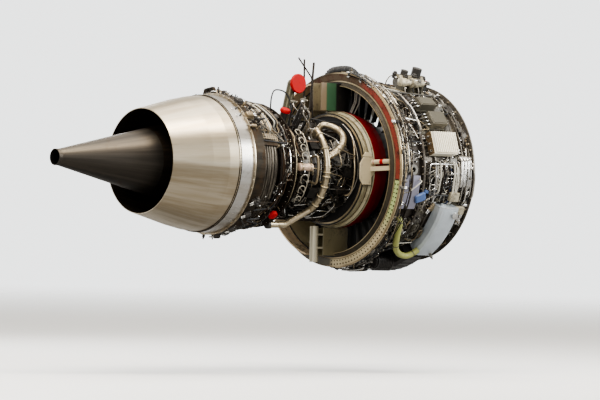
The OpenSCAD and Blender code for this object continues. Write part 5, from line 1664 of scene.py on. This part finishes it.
# %% Drilled plates
plates = Stock("drilled_plates", "pipe_tan", "cooling_manifold")
for clock in (66, 294):
    place = seat(clock, 1846, 494)
    plates.add(block(156, 74, 5, 1.5), place)
    # The holes are not cut: dark discs on the plate stand for them, painted shade of the holes.
    for k in range(7):
        for y in (-24, -8, 8, 24):
            dark_bits.add(turned_shape([(5.5, 0), (5.5, 0.8)], 10),
                          shifted(place, x=-66 + 22 * k, y=y, z=5))
tell(plates)

# %% [markdown]
# ## Struts in the fan duct
# A strut crosses the fan duct on each side. It stands on a hexagonal foot plate on the inner
# ring, and red bands mark its upper bar. The bands are short tubes round the bar, found by a
# function that follows the strut's slope.

# %% Strut bands
STRUT_CLOCKS = {1: 87, -1: 273}
STRUT_FOOT_STATION, STRUT_FOOT_RADIUS, STRUT_SLOPE = 805, 470, 17.4
BAR_OFFSET = 29
red_trim = Stock("red_bands", "cap_red", "riser_blank")


def strut_point(side, radius, offset):
    """A point on a side strut's upper bar at a radius, in millimetres."""
    clock = math.radians(STRUT_CLOCKS[side])
    station = (STRUT_FOOT_STATION
               - (radius - STRUT_FOOT_RADIUS) * math.tan(math.radians(STRUT_SLOPE)))
    out = np.array((0, -math.sin(clock), math.cos(clock)))
    up = np.array((0, out[2], -out[1])) * side
    return np.array((-station, 0, 0)) + out * radius + up * offset


for side in STRUT_CLOCKS:
    for low, high, thick in ((556, 584, 19.8), (640, 644, 19.4), (660, 664, 19.4), (500, 505, 19.4)):
        ends = [strut_point(side, r, BAR_OFFSET) for r in (low, high)]
        red_trim.add(tube(ends, thick, 24))
tell(red_trim)

# %% Strut feet and the tubes beside them
foot_plate = chamfered([(-62, -58), (-28, -108), (62, -108), (62, 108), (-28, 108), (-62, 58)],
                       6, 3)
pad_plate = chamfered([(-67, -61), (-31, -113), (66, -113), (66, 113), (-31, 113), (-67, 61)],
                      3, 1)
strut_feet = Stock("strut_foot_plates", "strut_cream", "strut_starboard")
for clock in (92, 268):
    strut_feet.add(foot_plate, seat(clock, 868, 479))
    dark_bits.add(pad_plate, seat(clock, 868, 476))
    for x, y in ((-46, -48), (-46, 48), (40, -88), (40, 88)):
        bolts.add(hex_nut(5, 4), shifted(seat(clock, 868, 485), x=x, y=y))
for clock, station in ((13, 690), (16, 700), (19, 692)):
    thin = [(clock, station, 684), (clock + 1, station - 6, 560), (clock, station + 10, 472)]
    points = [seat(c, s, r)[0] for c, s, r in thin]
    thin_steel.add(tube(points, 6, 8))
tell(strut_feet)

# %% [markdown]
# ## Hose, panels and bundles on the fan case
# The yellow hose, the lavender panels, two blue blocks and the upright tubes give the fan case its
# colours. The hose is a thick tube that bends down from the frame towards the gearbox, and the
# panels are strips that lie on the fan case.

# %% Yellow hose
yellow = Stock("yellow_hose", "hose_yellow", "oil_tank")
yellow_path = routed([(122, 612, 704), (124, 606, 736), (134, 576, 756), (143, 520, 775),
                      (148, 428, 786), (149.5, 340, 790), (147.5, 290, 784), (144.5, 250, 770)],
                     60, step=10)
yellow.add(tube(yellow_path, 25, 16))
for index in (3, len(yellow_path) // 2, len(yellow_path) - 4):
    clips.add(turned_shape([(27, -4), (27, 4)], 20), along_path(yellow_path, index))
tell(yellow)

# %% Side panels, blue blocks and bundles
panels = Stock("side_panels", "lavender", "frame_outer_ring")
blues = Stock("blue_parts", "blue_paint", "generator")
strip(panels, [(690, 470), (696, 470), (706, 690), (700, 690)], 93.5, 116, 1.5)
strip(panels, [(684, 440), (689, 440), (704, 640), (699, 640)], 236, 262, 1.5)
for x in (-1, 1):
    for clock in (95, 105, 114.5):
        bolts.add(hex_nut(5, 4), seat(clock, 575 + 96 * x, 701))
blues.add(block(110, 64, 30, 8), turned_axes(seat(108, 446, 684), 20))
lay_pipe(white_sleeves, [(105, 640, 706), (104, 621, 740), (97, 494, 742), (96, 480, 700)], 5,
         steel_bits)
blues.add(block(46, 28, 20, 5), turned_axes(seat(104, 380, 684), -10))
bundle((thin_steel, thin_steel, black_hoses), [(28, 420, 690), (30, 425, 716), (62, 425, 712),
                                                (64, 425, 690)], 5, 13)
bundle((thick_steel, dark_pipes, thick_steel), [(250, 200, 690), (252, 200, 724), (285, 200, 724),
                                                (287, 200, 690)], 8, 22)
tell(panels, blues)

# %% [markdown]
# ## Upright tubes
# Below the finned box a comb of upright tubes crosses the fan case, one beside the other and no
# two alike. A seeded generator picks their finish, their ends and their height, and about one in
# three passes behind a small valve.

# %% Upright tubes
uprights = random.Random(70)
for station in range(-78, 346, 13):
    stock = uprights.choice((thick_steel, thin_steel, dark_pipes, thick_steel, thick_steel,
                             blue_pipes, white_sleeves, black_hoses))
    high, low = uprights.uniform(81.5, 87), uprights.uniform(102, 111)
    middle, rise = uprights.uniform(90, 100), uprights.uniform(694, 738)
    side = station + uprights.uniform(-12, 12)
    lay_pipe(stock, [(high, station, 672), (high + 1.5, station, rise), (middle, station, rise + 6),
                     (middle + 3, side, rise), (low, side, rise), (low + 1.5, side, 672)],
             uprights.uniform(4, 8.5), steel_bits, bend=24)
    if station % 3 == 0:
        valve(uprights.choice((cast_bits, dark_bits, steel_bits)),
              seat(middle - 4, station, 690), 16)
tell(thick_steel, blue_pipes)

# %% Thick tubes and valve bodies at the front
for station, rise in ((-74, 700), (-40, 712), (2, 722), (40, 726)):
    lay_pipe(thick_steel, [(80, station, 676), (82, station, rise), (99, station + 8, rise + 4),
                           (101, station + 8, 676)], 13, steel_bits, bend=34, sides=14)
valve_parts = Stock("valve_bodies", "valve_beige", "top_valve")
valve_parts.add(block(96, 74, 34, 5), seat(106, 108, 712))
valve_parts.add(block(120, 60, 40, 5), seat(114.5, 34, 716))
steel_bits.add(turned_shape([(24, 0), (24, 8), (30, 10), (30, 20), (12, 24)], 20),
               seat(116, 110, 790))
valve(cast_bits, seat(146, 110, 790), 14)
tell(valve_parts)

# %% [markdown]
# ## Dressing the boxes and the top valve
# The control boxes get lids and round connectors with looms. The top valve gets motor
# housings, flanges and the pipes that serve it.

# %% Control boxes and finned box
def dress_box(clock, station, top, length, width, plugs):
    """A lid with nuts at its corners, and plugs aft whose cables bend down to the case."""
    place = seat(clock, station, top)
    grey_bits.add(block(length - 22, width - 20, 4, 2), place)
    for x in (-1, 1):
        for y in (-1, 1):
            bolts.add(hex_nut(4, 4), shifted(place, x * (length / 2 - 6), y * (width / 2 - 6), 0))
    for k in range(plugs):
        y = (k - (plugs - 1) / 2) * (width - 24) / max(plugs - 1, 1)
        origin, axes = shifted(place, x=-length / 2, y=y, z=-30)
        aft = (origin, np.array((axes[2], axes[1], -axes[0])))
        connector(steel_bits, aft, 8)
        end = shifted(aft, z=34)[0]
        turn = shifted(aft, z=62, x=-20)[0]
        drop = shifted(aft, z=66, x=-56)[0]
        (black_hoses if k % 2 else grey_looms).add(tube([end, turn, drop], 5, 8))


dress_box(42, 245, 758.3, 170, 92, 3)
dress_box(56, 235, 766.3, 166, 120, 4)
side_plates = Stock("finned_box_sides", "box_brown", "finned_box")
for x in (-1, 1):
    side_plates.add(block(4, 180, 64, 1), shifted(seat(72.5, 239, 685), x=x * 127))
for k in range(3):
    connector(steel_bits, shifted(seat(72.5, 239, 700), x=-129, y=-60 + 60 * k), 9)
tell(side_plates)

# %% Drums, bands and modules on the top valve
VALVE_CLOCK = 21
CAPPED = ((175, 862, 34, 24), (305, 834, 24, 20))
DRUMS = ((150, 18, 838, 25), (226, 24, 838, 24), (262, 17, 834, 20), (310, 23, 826, 24),
         (360, 18, 822, 22), (96, 22, 812, 24))
for station, reach, size, height in CAPPED:
    dark_bits.add(turned_shape([(size, 0), (size, 4), (size * 0.8, 6), (size * 0.8, height * 0.4),
                                (size * 0.4, height * 0.5)], 18),
                  seat(VALVE_CLOCK, station, reach))
for station in (96, 150, 210, 270, 330, 362):
    cast_bits.add(turned_shape([(41, -5), (41, 5)], 22), lying(VALVE_CLOCK, station, 768))
for station, turn, reach, size in DRUMS:
    dark_bits.add(turned_shape([(size * 0.8, -34), (size, 0), (size, 8), (size * 0.7, 12),
                                (size * 0.7, 20), (size * 0.4, 24)], 14), seat(turn, station, reach))
    module(cast_bits, seat(turn + 3, station - 20, reach - 30), 40, 34, 18, 1)
tell(dark_bits, cast_bits)

# %% Valve nose and the pipes that serve it
valve_parts.add(turned_shape([(18, 0), (33, 8), (36, 20), (36, 62), (28, 70), (28, 118), (42, 126),
                              (42, 134), (37, 140), (37, 196), (30, 206), (30, 258), (20, 268)], 24),
                lying(26, 398, 792))
for station in (150, 262, 372):
    clips.add(block(18, 60, 70, 3), seat(26, station, 700))
for k, station in enumerate((120, 190, 250, 340)):
    lay_pipe(thin_steel if k % 2 else black_hoses,
             [(10, station, 668), (10, station, 740), (14, station + 8, 800),
              (24, station + 14, 812), (30, station + 10, 740), (31, station, 668)], 5,
             steel_bits)
scatter(61, 40, (28, 36), (60, 400), fan_skin, FAN_BITS)
scatter(62, 40, (4, 14), (60, 500), fan_skin, FAN_BITS, scale=1.2)
tell(valve_parts, thin_steel, black_hoses)

# %% [markdown]
# ## Ribs and fins under the fan case
# The gearbox cover is stiffened by ribs along the engine, and the generator and the starter are
# cooled by round fins. Ribs are short strips, and fins are thin turned discs in a row.

# %% Gearbox cover ribs, generator and starter fins
for k in range(12):
    clock = 152 + k * 5
    square_strip(dark_bits, 798, 804, 172, 300, first=clock, last=clock + 0.6, step=0.3)
for k in range(7):
    dark_bits.add(turned_shape([(60, -2.5), (60, 2.5)], 26), lying(164, 368 + 18 * k, 757))
for k in range(4):
    cast_bits.add(turned_shape([(47, -3), (47, 3)], 22), lying(200, 360 + 14 * k, 754))
tell(dark_bits, cast_bits)

# %% [markdown]
# ## Making the meshes
# Each stock now becomes one object that rides on its body.

# %% Make and count
for stock in Stock.made:
    stock.make()
print("pieces:", len(Stock.made), "faces:", sum(len(stock.faces) for stock in Stock.made))
